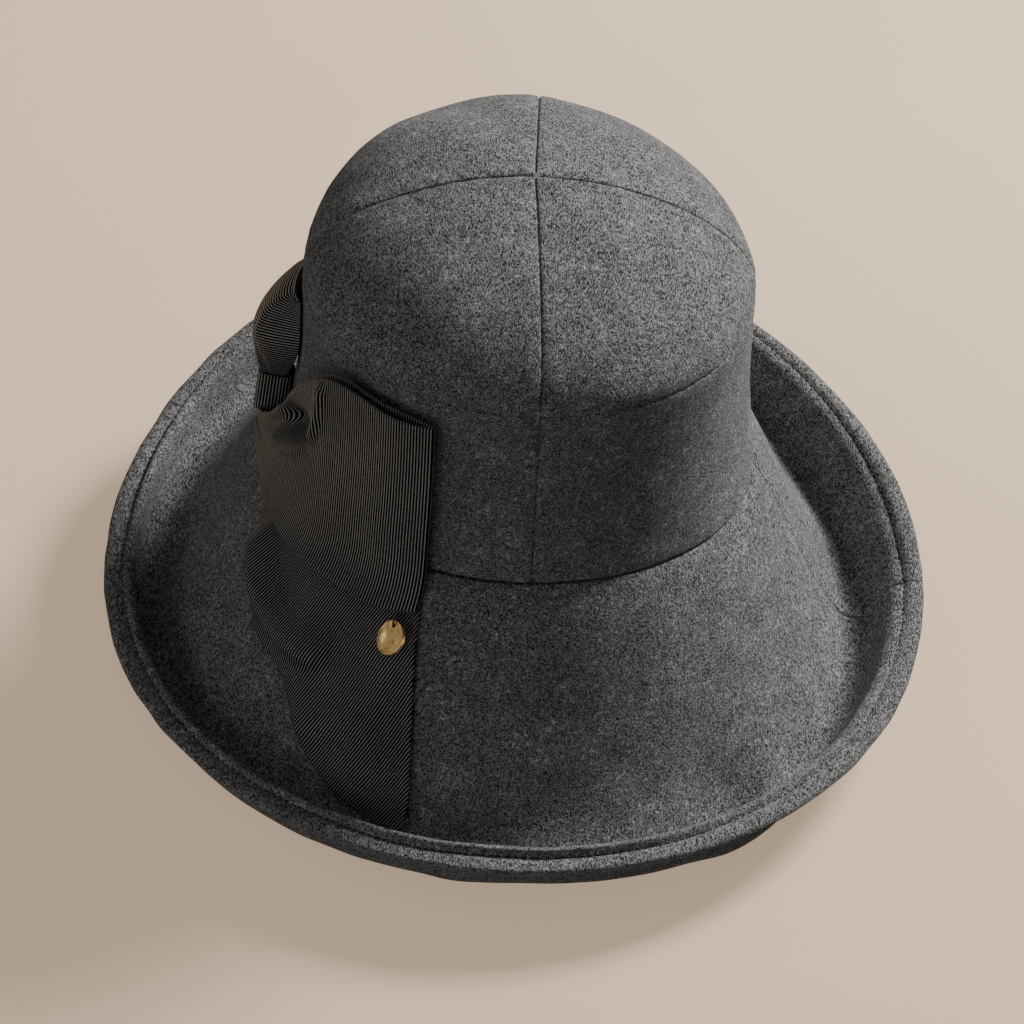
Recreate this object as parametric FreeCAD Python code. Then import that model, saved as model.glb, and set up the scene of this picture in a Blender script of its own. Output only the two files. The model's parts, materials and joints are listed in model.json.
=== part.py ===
# Wide-brimmed cloche in heathered wool, with a grosgrain bow and a hanging charm.
#
# Millimetres.  +Z is up and the front of the hat faces -Y.  Left (-X) and right (+X) are
# as seen by someone facing the hat.  The lowest line of the brim touches Z = 0, and the
# middle of the brim's outline, seen from above, is at X = 0, Y = 0.
#
# Every panel of cloth is a thin solid between two smooth skins.  The outside of the hat is
# described by loops (half width, half length, height) and by how each loop dips at the
# sides and at the front, so the ring seam and the brim seam are saddle-shaped, as sewn.
import FreeCAD, Part
import math
import os

V = FreeCAD.Vector

# ---- crown: outside of the cloth ------------------------------------------------------
BRIM_SEAM_HALF_WIDTH = 91.5     # where crown and brim are sewn together
BRIM_SEAM_HALF_LENGTH = 105.8
BRIM_SEAM_SIDE_DIP = 13.7       # the seam is lower at the ears than at the forehead
BAND_HEIGHT = 76.2              # from the brim seam to the ring seam, at centre front
RING_HALF_WIDTH = 86.7
RING_HALF_LENGTH = 103.2
RING_SIDE_DIP = 9.9
BAND_HOLLOW = 1.5               # the band draws in a little above the brim seam
TIP_HEIGHT = 36.8               # from the ring seam to the top of the crown
TIP_ROUNDNESS = 1.80            # 2 is a true ellipse, less is more domed in the middle
TIP_FULLNESS = 2.06
TIP_EYE = 0.8                   # the four points of the quarters stop round this radius
TIP_SLUMP = 4.8                 # the soft tip has sunk in here, behind on the right
TIP_SLUMP_AT = 150.0
TIP_SLUMP_SPREAD = 41.0
TIP_DENT = 1.6                  # and in a smaller dent beside the back seam
TIP_DENT_AT = 200.0
TIP_DENT_SPREAD = 14.0
FRONT_SEAM = 1.0                # the crown's upright seams, in degrees from centre front
BACK_SEAM = 177.0

# ---- brim: outside (upper face) of the cloth -------------------------------------------
EDGE_HALF_WIDTH = 163.0
EDGE_HALF_LENGTH = 182.0
EDGE_FORWARD = 11.3             # the brim is longer in front than behind
EDGE_DROP = 54.5                # from the brim seam to the turned-up edge
EDGE_SIDE_DIP = 15.8
EDGE_FRONT_DIP = 13.7
VALLEY_INSET = 22.5             # from the edge in to the lowest line of the brim
VALLEY_INSET_SKEW = 4.0         # more of a turn-up on the right, less on the bow side
VALLEY_DEPTH = 15.0
VALLEY_BULGE = 4.5              # the brim sags further at one place in front
VALLEY_BULGE_AT = 30.0          # degrees from centre front towards the right
VALLEY_BULGE_SPREAD = 24.0
SHOULDER = 0.75                 # steepness at the brim seam against the slope's mean
HEM_REACH = 8.4                 # from the top of the roll out to the edge
HEM_FALL = 4.2                  # from the top of the roll down to the edge
HEM_STEEPNESS = 52.0            # degrees below level at the edge
WALL_EASE = 9.5                 # roundness of the turn-up at its foot and at its top
GROOVE_DEPTH = 0.6              # how far the topstitching pulls the cloth in
HEM_ROUNDING = 1.5              # at the outer corner of the hem

# ---- cloth, lining and trim thicknesses ------------------------------------------------
WOOL = 2.2
INTERLINING = 0.9
LINING = 0.6
SWEATBAND = 1.2
SWEATBAND_HEIGHT = 32.0
SWEATBAND_DROP = 1.2            # it reaches just below the brim seam
PLY_GAP = 0.1                   # air between two layers of cloth that lie together
LINING_EASE = 0.3               # air between the wool and the loose lining
SEAM_GAP = 0.15                 # half the groove where two panels are sewn edge to edge
HEM_ALLOWANCE = 1.7             # turned-in seam allowances inside the hem

STACK = 2 * WOOL + INTERLINING + 2 * PLY_GAP            # brim, away from the hem
HEM_STACK = 2 * WOOL + HEM_ALLOWANCE + 2 * PLY_GAP      # brim, in the hem

# ---- bow: angles are in degrees from centre front, heights from the brim seam in front --
RIBBON = 0.9                    # thickness of the doubled grosgrain
BOW_AT = -93.0                  # where the bow is gathered and sewn on
BOW_Z = -5.0
PINCH = 10.0                    # height of the gathered ribbon inside the knot
LOOP_REACH = 73.0               # how far the front loop lies round the crown
LOOP_TOP = 69.0
LOOP_BOTTOM = -10.5
LOOP_OPENS = 0.70               # share of its reach over which it opens to full width
LOOP_SAG = 5.0                  # the lower edge hangs a little below its two ends
LOOP_LIFT = 9.6                 # outer layer of a loop, above the hat's surface
LOOP_UNDER_LIFT = 5.8           # inner layer of a loop
KNOT_LIFT = 12.6                # the outer layers rise to this height at the knot
PLEAT_DEPTH = 4.2               # the pocket that the gathered ribbon folds into
PLEAT_END = 0.5                 # it runs out at this share of the front loop's reach
PLEAT_LINE = (0.92, 0.60)       # and from one share of the ribbon's width to the other
BACK_LENGTH = 58.0              # the back loop, from knot to fold
BACK_WIDTH = 54.0
BACK_ANGLE = 76.0               # it points this much above level, towards the back
BACK_LIFT = 18.5                # where it bulges most
BACK_FULL = 0.60                # share of its length at which it bulges most
BACK_LIP = 12.0                 # its front edge turns in this far from its widest
BACK_LIP_FOOT = 1.0             # at the knot the ribbon is folded up nearly square
BACK_LIP_SHARE = 0.4            # share of the ribbon's width in that turned-in lip
TAIL_SEWN_LIFT = 1.5            # at the knot, where it bridges the brim seam
TAIL_LIFT = 2.4                 # where the tail passes under the front loop
TAIL_END_LIFT = 5.5             # at its free, slanted end
TAIL_TIP_AT = -14.8             # the lower corner of the slanted end
TAIL_TIP_Z = -80.0
TAIL_HEEL_AT = -21.5            # the upper corner of the slanted end
TAIL_HEEL_Z = 12.0
TAIL_SCALLOP = 8.0              # its lower edge is drawn up where a fold crosses it
TAIL_SCALLOP_AT = 0.64          # share of the tail's length
TAIL_FOLD = 2.2                 # height of the soft folds that run down the tail
KNOT_HEIGHT = 11.0              # the wrap stands on top of the gathered front loop
KNOT_WALL = 1.0
KNOT_EASE = 0.6                 # between the wrap and the ribbon that it holds
KNOT_CORNER = 2.5
SEWN_EASE = 0.3                 # between two pieces that are sewn on to each other

# ---- charm -----------------------------------------------------------------------------
CHARM_DIAMETER = 13.5
CHARM_THICKNESS = 1.1
CHARM_RIM = 0.8
CHARM_RIM_HEIGHT = 0.25
CHARM_HOLE = 1.9
CHARM_HOLE_INSET = 2.0          # from the edge of the disc to the middle of its hole
CHARM_AT = -23.5
CHARM_LEAN = 48.0               # degrees below level, as it lies against the tail
CHARM_TURN = 29.0               # its face is turned this much to the left on its thread
THREAD = 0.8
THREAD_LOOP = 4.4               # from the sewn end to the middle of the charm's hole
THREAD_EASE = 0.35              # between the thread and the charm's two faces

SIDE_SEAM = 84.0                # the brim's side seams, in degrees from centre front
STEP = 14.0                     # largest spacing of the stations round the hat, degrees


# ---- the outside of the hat, as loops --------------------------------------------------
def loop_radius(phi, half_width, half_length, forward=0.0):
    """Distance from the crown's axis to an ellipse, in the direction phi from front."""
    s, c = math.sin(phi), math.cos(phi)
    a = (s / half_width) ** 2 + (c / half_length) ** 2
    b = -2.0 * c * forward / half_length ** 2
    k = (forward / half_length) ** 2 - 1.0
    return (-b + math.sqrt(b * b - 4.0 * a * k)) / (2.0 * a)


def sagged(phi, height, side_dip, front_dip=0.0):
    return height - side_dip * math.sin(phi) ** 2 - front_dip * math.cos(phi)


def bump(phi, at, spread):
    """1 at an azimuth, falling away to both sides of it; at and spread are in degrees."""
    away = math.degrees(math.atan2(math.sin(phi - math.radians(at)),
                                   math.cos(phi - math.radians(at))))
    return math.exp(-(away / spread) ** 2)


def ring_at(phi):
    return (loop_radius(phi, RING_HALF_WIDTH, RING_HALF_LENGTH),
            sagged(phi, BAND_HEIGHT, RING_SIDE_DIP))


def brim_seam_at(phi):
    return (loop_radius(phi, BRIM_SEAM_HALF_WIDTH, BRIM_SEAM_HALF_LENGTH),
            sagged(phi, 0.0, BRIM_SEAM_SIDE_DIP))


def edge_at(phi):
    return (loop_radius(phi, EDGE_HALF_WIDTH, EDGE_HALF_LENGTH, EDGE_FORWARD),
            sagged(phi, -EDGE_DROP, EDGE_SIDE_DIP, EDGE_FRONT_DIP))


def valley_at(phi):
    r, z = edge_at(phi)
    bulge = VALLEY_BULGE * bump(phi, VALLEY_BULGE_AT, VALLEY_BULGE_SPREAD)
    inset = VALLEY_INSET + VALLEY_INSET_SKEW * math.sin(phi)
    return r - inset, z - VALLEY_DEPTH - bulge


def bezier(p0, p1, p2, p3, t):
    w = ((1 - t) ** 3, 3 * t * (1 - t) ** 2, 3 * t * t * (1 - t), t ** 3)
    return tuple(sum(k * p[i] for k, p in zip(w, (p0, p1, p2, p3))) for i in (0, 1))


# ---- profiles in the half-plane at phi, as (radius, height) ----------------------------
def tip_profile(phi):
    """From the eye at the top of the crown down to the ring seam."""
    r1, z1 = ring_at(phi)
    top = BAND_HEIGHT + TIP_HEIGHT
    sunken = TIP_SLUMP * bump(phi, TIP_SLUMP_AT, TIP_SLUMP_SPREAD)
    sunken += TIP_DENT * bump(phi, TIP_DENT_AT, TIP_DENT_SPREAD)
    out = [(TIP_EYE, top)]
    for share in (0.14, 0.29, 0.44, 0.59, 0.74, 0.88, 1.0):
        t = math.pi / 2 * (1.0 - share)
        in_by = sunken * math.sin(math.pi * share ** 1.6) * math.sqrt(0.5)
        r = r1 * math.cos(t) ** (2.0 / TIP_FULLNESS)
        z = z1 + (top - z1) * math.sin(t) ** (2.0 / TIP_ROUNDNESS)
        out.append((r - in_by, z - in_by))
    return out


def band_profile(phi, start=0.0, stop=1.0):
    """From the ring seam (0) down to the brim seam (1), a little hollow between them."""
    r1, z1 = ring_at(phi)
    r0, z0 = brim_seam_at(phi)
    out = []
    for k in range(5):
        u = start + (stop - start) * k / 4.0
        hollow = BAND_HOLLOW * math.sin(math.pi * u)
        out.append((r1 + (r0 - r1) * u - hollow, z1 + (z0 - z1) * u))
    return out


SLOPE = (0.0, 0.17, 0.34, 0.51, 0.68, 0.84)
WALL = (0.0, 0.2, 0.4, 0.6, 0.8, 1.0)
HEM = (0.35, 0.7, 1.0)
EASE_SHARE = 0.85               # how much a deeper layer shifts its bends in the turn-up


def slope_point(phi, u, depth):
    """A point of the slope, from the brim seam (0) towards the level valley (1)."""
    r0, z0 = brim_seam_at(phi)
    rv, zv = valley_at(phi)
    fall = SHOULDER * (u ** 3 - 2 * u * u + u) + 3 * u * u - 2 * u ** 3
    steep = SHOULDER * (3 * u * u - 4 * u + 1) + 6 * u - 6 * u * u
    dr, dz = rv - r0, (zv - z0) * steep
    n = math.hypot(dr, dz)
    return r0 + dr * u + depth * dz / n, z0 + (zv - z0) * fall - depth * dr / n


def wall_point(phi, t, depth):
    """A point of the turn-up, from the valley (0) to the top of the roll (1).

    Deeper layers run wider round the valley and tighter under the roll.
    """
    (rv, zv), (re, ze) = valley_at(phi), edge_at(phi)
    foot = (rv, zv - depth)
    roll = (re - HEM_REACH, ze + HEM_FALL - depth)
    return bezier(foot, (foot[0] + WALL_EASE + EASE_SHARE * depth, foot[1]),
                  (roll[0] - WALL_EASE + EASE_SHARE * depth, roll[1]), roll, t)


def hem_point(phi, t, depth):
    """A point of the hem, from the top of the roll (0) over to the edge (1)."""
    re, ze = edge_at(phi)
    roll = (re - HEM_REACH, ze + HEM_FALL - depth)
    steep = math.radians(HEM_STEEPNESS)
    c, s = math.cos(steep), math.sin(steep)
    end = (re - depth * s, ze - depth * c)
    lead = (end[0] - roll[0]) * 0.4
    return bezier(roll, (roll[0] + lead, roll[1]), (end[0] - lead * c, end[1] + lead * s),
                  end, t)


def brim_profile(phi, depths):
    """From the brim seam down the slope, through the valley, up and over to the edge.

    There is one depth below the outside of the cloth for each station.
    """
    stations = ([(slope_point, u) for u in SLOPE] + [(wall_point, t) for t in WALL]
                + [(hem_point, t) for t in HEM])
    return [at(phi, t, d) for (at, t), d in zip(stations, depths)]


ROLL_STATION = len(SLOPE) + len(WALL) - 1
LAST_STATION = ROLL_STATION + len(HEM)


def trimmed(profile, first=0.0, last=0.0):
    """The profile shortened a little at either end."""
    def step(a, b, length):
        k = length / math.hypot(b[0] - a[0], b[1] - a[1])
        return a[0] + (b[0] - a[0]) * k, a[1] + (b[1] - a[1]) * k
    out = list(profile)
    if first:
        out[0] = step(profile[0], profile[1], first)
    if last:
        out[-1] = step(profile[-1], profile[-2], last)
    return out


def sunk(profile, depths, level=()):
    """The profile moved into the cloth, square to itself, by one depth per point.

    The points named in level move straight inwards, so that two panels sewn together
    there meet on one level line.
    """
    out = []
    last = len(profile) - 1
    for i, (r, z) in enumerate(profile):
        a, b = profile[max(i - 1, 0)], profile[min(i + 1, last)]
        dr, dz = b[0] - a[0], b[1] - a[1]
        if i in level or i - last - 1 in level:
            dr = 0.0
        n = math.hypot(dr, dz)
        out.append((r + depths[i] * dz / n, z - depths[i] * dr / n))
    return out


def stand_height():
    """How far the brim seam at centre front is above what the brim rests on."""
    phis = [math.radians(k / 2.0) for k in range(720)]
    return max(STACK - valley_at(phi)[1] for phi in phis)


# ---- ribbon, laid on the outside of the hat ---------------------------------------------
def surface_radius(phi, z):
    """Radius of the hat's outside at a height between the ring seam and the valley."""
    r1, z1 = ring_at(phi)
    r0, z0 = brim_seam_at(phi)
    if z >= z0:
        u = max(0.0, (z1 - z) / (z1 - z0))
        return r1 + (r0 - r1) * u - BAND_HOLLOW * math.sin(math.pi * u)
    low, high = 0.0, 1.0
    for _ in range(30):
        u = 0.5 * (low + high)
        low, high = (u, high) if slope_point(phi, u, 0.0)[1] > z else (low, u)
    return slope_point(phi, low, 0.0)[0]


def on_hat(azimuth, z, lift):
    """(phi, (radius, height)) of a point held off the outside of the hat."""
    phi = math.radians(azimuth)
    return phi, (surface_radius(phi, z) + lift, z)


def loop_station(share, outer, reach, top, bottom):
    """Azimuth, lower and upper edge and lift of a loop, from knot (0) to fold (1)."""
    open_up = math.sin(math.pi / 2 * min(1.0, share / LOOP_OPENS)) ** 2
    drop = 1.0 - (1.0 - share) ** 4
    low = BOW_Z - PINCH / 2 + (bottom - BOW_Z + PINCH / 2) * drop
    low -= LOOP_SAG * math.sin(math.pi * share) ** 0.8
    high = BOW_Z + PINCH / 2 + (top - BOW_Z - PINCH / 2) * open_up
    sewn = TAIL_SEWN_LIFT + RIBBON + SEWN_EASE              # on the tail
    near, far = (KNOT_LIFT, LOOP_LIFT) if outer else (sewn, LOOP_UNDER_LIFT)
    lift = near + (far - near) * min(1.0, (1.3 if outer else 2.4) * share)
    return BOW_AT + reach * share, low, high, lift


def pleat(share, w):
    """Depth of the pocket in the outer layer: steep below its line, easy above it."""
    if not 0.0 < share < PLEAT_END:
        return 0.0
    start, stop = PLEAT_LINE
    above = w - (start + (stop - start) * share / PLEAT_END)
    width = 0.20 if above > 0 else 0.11
    return PLEAT_DEPTH * math.sin(math.pi * (share / PLEAT_END) ** 1.7) \
        * math.exp(-(above / width) ** 2)


LOOP_SHARES = (0.02, 0.11, 0.20, 0.29, 0.37, 0.45, 0.54, 0.66, 0.80, 0.94)
LOOP_ACROSS = (0.0, 0.16, 0.32, 0.46, 0.58, 0.68, 0.78, 0.88, 1.0)
ACROSS = (0.0, 0.2, 0.4, 0.6, 0.8, 1.0)
BACK_ACROSS = (0.0, 0.1, 0.2, 0.3, 0.4, 0.55, 0.7, 0.85, 1.0)


def loop_columns(reach, top, bottom):
    """Columns of points across a ribbon loop: out, round the fold and back again."""
    def column(share, outer):
        azimuth, low, high, lift = loop_station(share, outer, reach, top, bottom)
        if share == 1.0:
            lift = (LOOP_LIFT + LOOP_UNDER_LIFT) / 2
        return [on_hat(azimuth, low + (high - low) * w, lift - outer * pleat(share, w))
                for w in LOOP_ACROSS]

    out = [column(s, True) for s in LOOP_SHARES + (1.0,)]
    return out + [column(s, False) for s in reversed(LOOP_SHARES)]


BACK_FOOT = PINCH / 2 + 1.5 * RIBBON    # it starts on top of the gathered front loop


def back_point(length, side, lift):
    """A point so far along the back loop's middle line and so far to its front side."""
    lean = math.radians(BACK_ANGLE)
    around = math.degrees(1.0 / (BRIM_SEAM_HALF_WIDTH + BACK_LIFT / 2))
    arc = -length * math.cos(lean) + side * math.sin(lean)
    z = BOW_Z + length * math.sin(lean) + side * math.cos(lean)
    return on_hat(BOW_AT + arc * around, z, lift)


def back_loop_columns():
    """The back loop: up and back from the knot, over its fold and back to the knot."""
    laid = SEWN_EASE + KNOT_WALL + KNOT_EASE + RIBBON / 2

    def column(share, outer):
        wide = math.sin(math.pi / 2 * min(1.0, max(0.0, share - 0.2) / 0.5))
        half = PINCH / 2 + (BACK_WIDTH / 2 - PINCH / 2) * wide
        past = max(0.0, share - BACK_FULL) / (1.0 - BACK_FULL)
        full = KNOT_LIFT + (BACK_LIFT - KNOT_LIFT) * wide
        bulge = full * math.cos(math.pi / 2 * past) ** 0.6
        length = BACK_FOOT + (BACK_LENGTH - BACK_FOOT) * share
        lip = BACK_LIP_FOOT + (BACK_LIP - BACK_LIP_FOOT) * wide
        out = []
        for w in BACK_ACROSS:
            turn = math.pi / 2 * min(1.0, w / BACK_LIP_SHARE)
            rest = max(0.0, w - BACK_LIP_SHARE) / (1.0 - BACK_LIP_SHARE)
            side = half - lip * (1.0 - math.cos(turn)) - (2.0 * half - lip) * rest
            high = max(math.sin(turn) - 0.25 * rest * rest * wide, 0.12)
            lift = max(laid + 1.5 * RIBBON, laid + (bulge - laid) * high) if outer else laid
            if share == 1.0:
                lift = laid + 0.75 * RIBBON
            out.append(back_point(length, side, lift))
        return out

    shares = (0.0, 0.1, 0.2, 0.32, 0.45, 0.58, 0.70, 0.82, 0.93)
    columns = [column(s, True) for s in shares] + [column(1.0, True)]
    return columns + [column(s, False) for s in reversed(shares)]


def tail_columns():
    """Columns across the tail, from the knot to its slanted end on the brim."""
    start = BOW_AT + 2.0
    out = []
    for k in range(15):
        t = k / 14.0
        low_at = start + (TAIL_TIP_AT - start) * t
        sink = math.sin(math.pi / 2 * t) ** 1.5
        low = BOW_Z - PINCH / 2 + (TAIL_TIP_Z - BOW_Z + PINCH / 2) * sink
        low += TAIL_SCALLOP * math.exp(-((t - TAIL_SCALLOP_AT) / 0.11) ** 2)
        high_at = start + (TAIL_HEEL_AT - start) * t
        high = BOW_Z + PINCH / 4 + (TAIL_HEEL_Z - BOW_Z - PINCH / 4) * t
        column = []
        for w in ACROSS:
            lift = TAIL_SEWN_LIFT + (TAIL_LIFT - TAIL_SEWN_LIFT) * min(1.0, 3.0 * t)
            lift += (TAIL_END_LIFT - TAIL_LIFT) * t * t * (1.0 - w)
            lift += TAIL_FOLD * (1.0 - w) ** 2 * math.exp(-((t - 0.47 + 0.2 * w) / 0.07) ** 2)
            lift += TAIL_FOLD * (1.0 - w) ** 2 * math.exp(-((t - 0.73 + 0.2 * w) / 0.06) ** 2)
            column.append(on_hat(low_at + (high_at - low_at) * w, low + (high - low) * w, lift))
        out.append(column)
    return out


# ---- solids between two skins ----------------------------------------------------------
SEAM_Z = stand_height()


def place(phi, point):
    """A profile point at phi in the hat's own frame."""
    r, z = point
    return V(r * math.sin(phi), EDGE_FORWARD - r * math.cos(phi), SEAM_Z + z)


def spline(points, params):
    curve = Part.BSplineCurve()
    curve.interpolate(Points=points, Parameters=params)
    return curve


def spread(points):
    """Parameters from 0 to 1, by the distance along a row of points."""
    marks = [0.0]
    for a, b in zip(points, points[1:]):
        marks.append(marks[-1] + max((b - a).Length, 1e-3))
    return [m / marks[-1] for m in marks]


def skin(grid, us, vs):
    """A smooth surface through grid[i][j]; i runs along us and j along vs."""
    columns = [spline([row[j] for row in grid], us) for j in range(len(vs))]
    first = columns[0]
    poles = []
    for i in range(first.NbPoles):
        poles.append(spline([c.getPole(i + 1) for c in columns], vs))
    across = poles[0]
    surface = Part.BSplineSurface()
    surface.buildFromPolesMultsKnots([p.getPoles() for p in poles],
                                     first.getMultiplicities(), across.getMultiplicities(),
                                     first.getKnots(), across.getKnots(), False, False,
                                     first.Degree, across.Degree)
    return surface


def strip(surface_a, surface_b, line):
    """The face between the same border of two skins; line picks the border."""
    return Part.makeRuledSurface(line(surface_a).toShape(), line(surface_b).toShape(), 1)


BORDERS = (lambda s: s.uIso(0.0), lambda s: s.uIso(1.0))
ENDS = (lambda s: s.vIso(0.0), lambda s: s.vIso(1.0))


def solid_from(faces, name):
    shell = Part.makeShell(faces)
    shell.sewShape()
    solid = Part.makeSolid(shell)
    if solid.Volume < 0:
        solid.reverse()
    if not solid.isValid():
        solid.fix(0.01, 0.01, 0.01)
    print("%-24s %s volume %.0f" % (name, "ok " if solid.isValid() else "BAD", solid.Volume))
    return solid


def cloth(name, outer_at, inner_at, start, stop):
    """A panel of cloth between two families of profiles, from one azimuth to another.

    A panel that goes all the way round is made of two halves without end faces.
    """
    whole = stop - start >= 359.9
    spans = [(start, start + 180.0), (start + 180.0, stop)] if whole else [(start, stop)]
    faces = []
    for a, b in spans:
        count = max(2, int(math.ceil((b - a) / STEP)))
        phis = [math.radians(a + (b - a) * k / count) for k in range(count + 1)]
        vs = [k / float(count) for k in range(count + 1)]
        pair = []
        for profile_at in (outer_at, inner_at):
            us = spread([place(0.0, p) for p in profile_at(0.0)])
            rows = [[place(phi, p) for p in profile_at(phi)] for phi in phis]
            pair.append(skin([list(col) for col in zip(*rows)], us, vs))
        faces += [s.toShape() for s in pair]
        faces += [strip(pair[0], pair[1], line) for line in BORDERS]
        if not whole:
            faces += [strip(pair[0], pair[1], line) for line in ENDS]
    return solid_from(faces, name)


def layer(profile_at, near, far, level):
    """Outer and inner profiles of one layer, at two depths below the outside."""
    def at(depth):
        def profile(phi):
            points = profile_at(phi)
            depths = depth if isinstance(depth, list) else [depth] * len(points)
            return sunk(points, depths, level)
        return profile
    return at(near), at(far)


# ---- crown ------------------------------------------------------------------------------
def tip_at(phi):
    return trimmed(tip_profile(phi), last=SEAM_GAP)


def band_at(phi):
    return trimmed(band_profile(phi), SEAM_GAP, SEAM_GAP)


def crown():
    tip = layer(tip_at, 0.0, WOOL, [-1])
    band = layer(band_at, 0.0, WOOL, [0])
    return {
        "crown_tip_front_left": cloth("crown_tip_front_left", *tip, -90, FRONT_SEAM),
        "crown_tip_front_right": cloth("crown_tip_front_right", *tip, FRONT_SEAM, 90),
        "crown_tip_back_right": cloth("crown_tip_back_right", *tip, 90, BACK_SEAM),
        "crown_tip_back_left": cloth("crown_tip_back_left", *tip, BACK_SEAM, 270),
        "crown_side_left": cloth("crown_side_left", *band, BACK_SEAM, 360 + FRONT_SEAM),
        "crown_side_right": cloth("crown_side_right", *band, FRONT_SEAM, BACK_SEAM),
    }


def inside():
    """Lining of the tip, lining of the side, and the sweatband over its lower edge."""
    near = WOOL + LINING_EASE
    far = near + LINING
    tip = layer(tip_at, near, far, [-1])
    side = layer(band_at, near, far, [0])
    start = 1.0 - SWEATBAND_HEIGHT / BAND_HEIGHT
    stop = 1.0 + SWEATBAND_DROP / BAND_HEIGHT
    band = layer(lambda phi: band_profile(phi, start, stop), far + PLY_GAP,
                 far + PLY_GAP + SWEATBAND, [])
    return {
        "lining_tip": cloth("lining_tip", tip[0], tip[1], 0, 360),
        "lining_side": cloth("lining_side", side[0], side[1], 0, 360),
        "sweatband": cloth("sweatband", band[0], band[1], 180, 540),
    }


# ---- brim -------------------------------------------------------------------------------
def brim_face(depths):
    """The family of profiles of one face of a brim layer."""
    return lambda phi: trimmed(brim_profile(phi, depths), first=SEAM_GAP)


def brim_faces():
    """The four faces of the two wool layers, which close on each other at the edge."""
    flat = ROLL_STATION
    middle = HEM_STACK / 2.0
    top_out = [0.0] * flat + [GROOVE_DEPTH, -0.1, 0.0, HEM_ROUNDING]
    top_in = [WOOL] * (flat + 3) + [middle - PLY_GAP / 2]
    low_in = [STACK - WOOL] * flat + [HEM_STACK - WOOL] * 3 + [middle + PLY_GAP / 2]
    low_out = [STACK] * flat + [HEM_STACK - GROOVE_DEPTH, HEM_STACK, HEM_STACK,
                                HEM_STACK - HEM_ROUNDING]
    return [brim_face(d) for d in (top_out, top_in, low_in, low_out)]


def brim():
    top_out, top_in, low_in, low_out = brim_faces()
    out = {}
    for side, a, b in (("front", -SIDE_SEAM, SIDE_SEAM),
                       ("back", SIDE_SEAM, 360.0 - SIDE_SEAM)):
        out["brim_top_" + side] = cloth("brim_top_" + side, top_out, top_in, a, b)
        out["brim_under_" + side] = cloth("brim_under_" + side, low_in, low_out, a, b)
    # the interlining, and the turned-in allowances that carry on from it into the hem
    upper = brim_face([WOOL + PLY_GAP] * LAST_STATION)
    lower = brim_face([WOOL + PLY_GAP + INTERLINING] * ROLL_STATION
                      + [HEM_STACK - WOOL - PLY_GAP] * len(HEM))
    out["brim_interlining"] = cloth("brim_interlining", upper, lower, 180, 540)
    return out


# ---- bow --------------------------------------------------------------------------------
def ribbon(name, columns, thickness):
    """A ribbon as thick as named, half to either side of a grid of points."""
    grid = [[place(*p) for p in column] for column in columns]
    last_col, last_row = len(grid) - 1, len(grid[0]) - 1
    sides = [[], []]
    for j, column in enumerate(grid):
        rows = [[], []]
        for i, point in enumerate(column):
            along = grid[min(j + 1, last_col)][i] - grid[max(j - 1, 0)][i]
            across = column[min(i + 1, last_row)] - column[max(i - 1, 0)]
            normal = along.cross(across).normalize()
            for side, sign in enumerate((0.5, -0.5)):
                rows[side].append(point + normal * (sign * thickness))
        for side in (0, 1):
            sides[side].append(rows[side])
    middle = [column[last_row // 2] for column in grid]
    us, vs = spread(grid[len(grid) // 2]), spread(middle)
    pair = [skin([list(row) for row in zip(*side)], us, vs) for side in sides]
    faces = [f.toShape() for f in pair]
    faces += [strip(pair[0], pair[1], line) for line in BORDERS + ENDS]
    return solid_from(faces, name)


def frame_at(origin, out, up):
    """A placement with Z along up, Y as near to out as that leaves, and X to match."""
    z = V(up).normalize()
    x = V(out).cross(z).normalize()
    y = z.cross(x)
    return FreeCAD.Placement(FreeCAD.Matrix(
        x.x, y.x, z.x, origin.x, x.y, y.y, z.y, origin.y, x.z, y.z, z.z, origin.z, 0, 0, 0, 1))


def outward(azimuth):
    phi = math.radians(azimuth)
    return V(math.sin(phi), -math.cos(phi), 0)


def knot_frame():
    """On the crown at the knot's foot, Z up along the back loop and Y off the crown."""
    foot = place(*back_point(BACK_FOOT, 0.0, 0.0))
    top = place(*back_point(BACK_FOOT + KNOT_HEIGHT, 0.0, 0.0))
    return frame_at(foot, outward(BOW_AT), top - foot)


def rounded_box(x0, x1, y0, y1, z0, z1, radius):
    box = Part.makeBox(x1 - x0, y1 - y0, z1 - z0, V(x0, y0, z0))
    upright = [e for e in box.Edges if abs(e.tangentAt(e.FirstParameter).z) > 0.9]
    return box.makeFillet(radius, upright)


def knot():
    """A wrap of ribbon round the foot of the back loop, sewn against the crown."""
    half = PINCH / 2 + RIBBON + KNOT_EASE
    near = SEWN_EASE + KNOT_WALL
    far = KNOT_LIFT + RIBBON / 2 + KNOT_EASE
    w = KNOT_WALL
    outside = rounded_box(-half - w, half + w, near - w, far + w, 0, KNOT_HEIGHT, KNOT_CORNER)
    hollow = rounded_box(-half, half, near, far, -1, KNOT_HEIGHT + 1, KNOT_CORNER - w)
    solid = outside.cut(hollow)
    solid.Placement = knot_frame()
    return solid


def bow():
    front = loop_columns(LOOP_REACH, LOOP_TOP, LOOP_BOTTOM)
    return {
        "bow_front_loop": ribbon("bow_front_loop", front, RIBBON),
        "bow_back_loop": ribbon("bow_back_loop", back_loop_columns(), RIBBON),
        "bow_tail": ribbon("bow_tail", tail_columns(), RIBBON),
        "bow_knot": knot(),
    }


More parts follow.
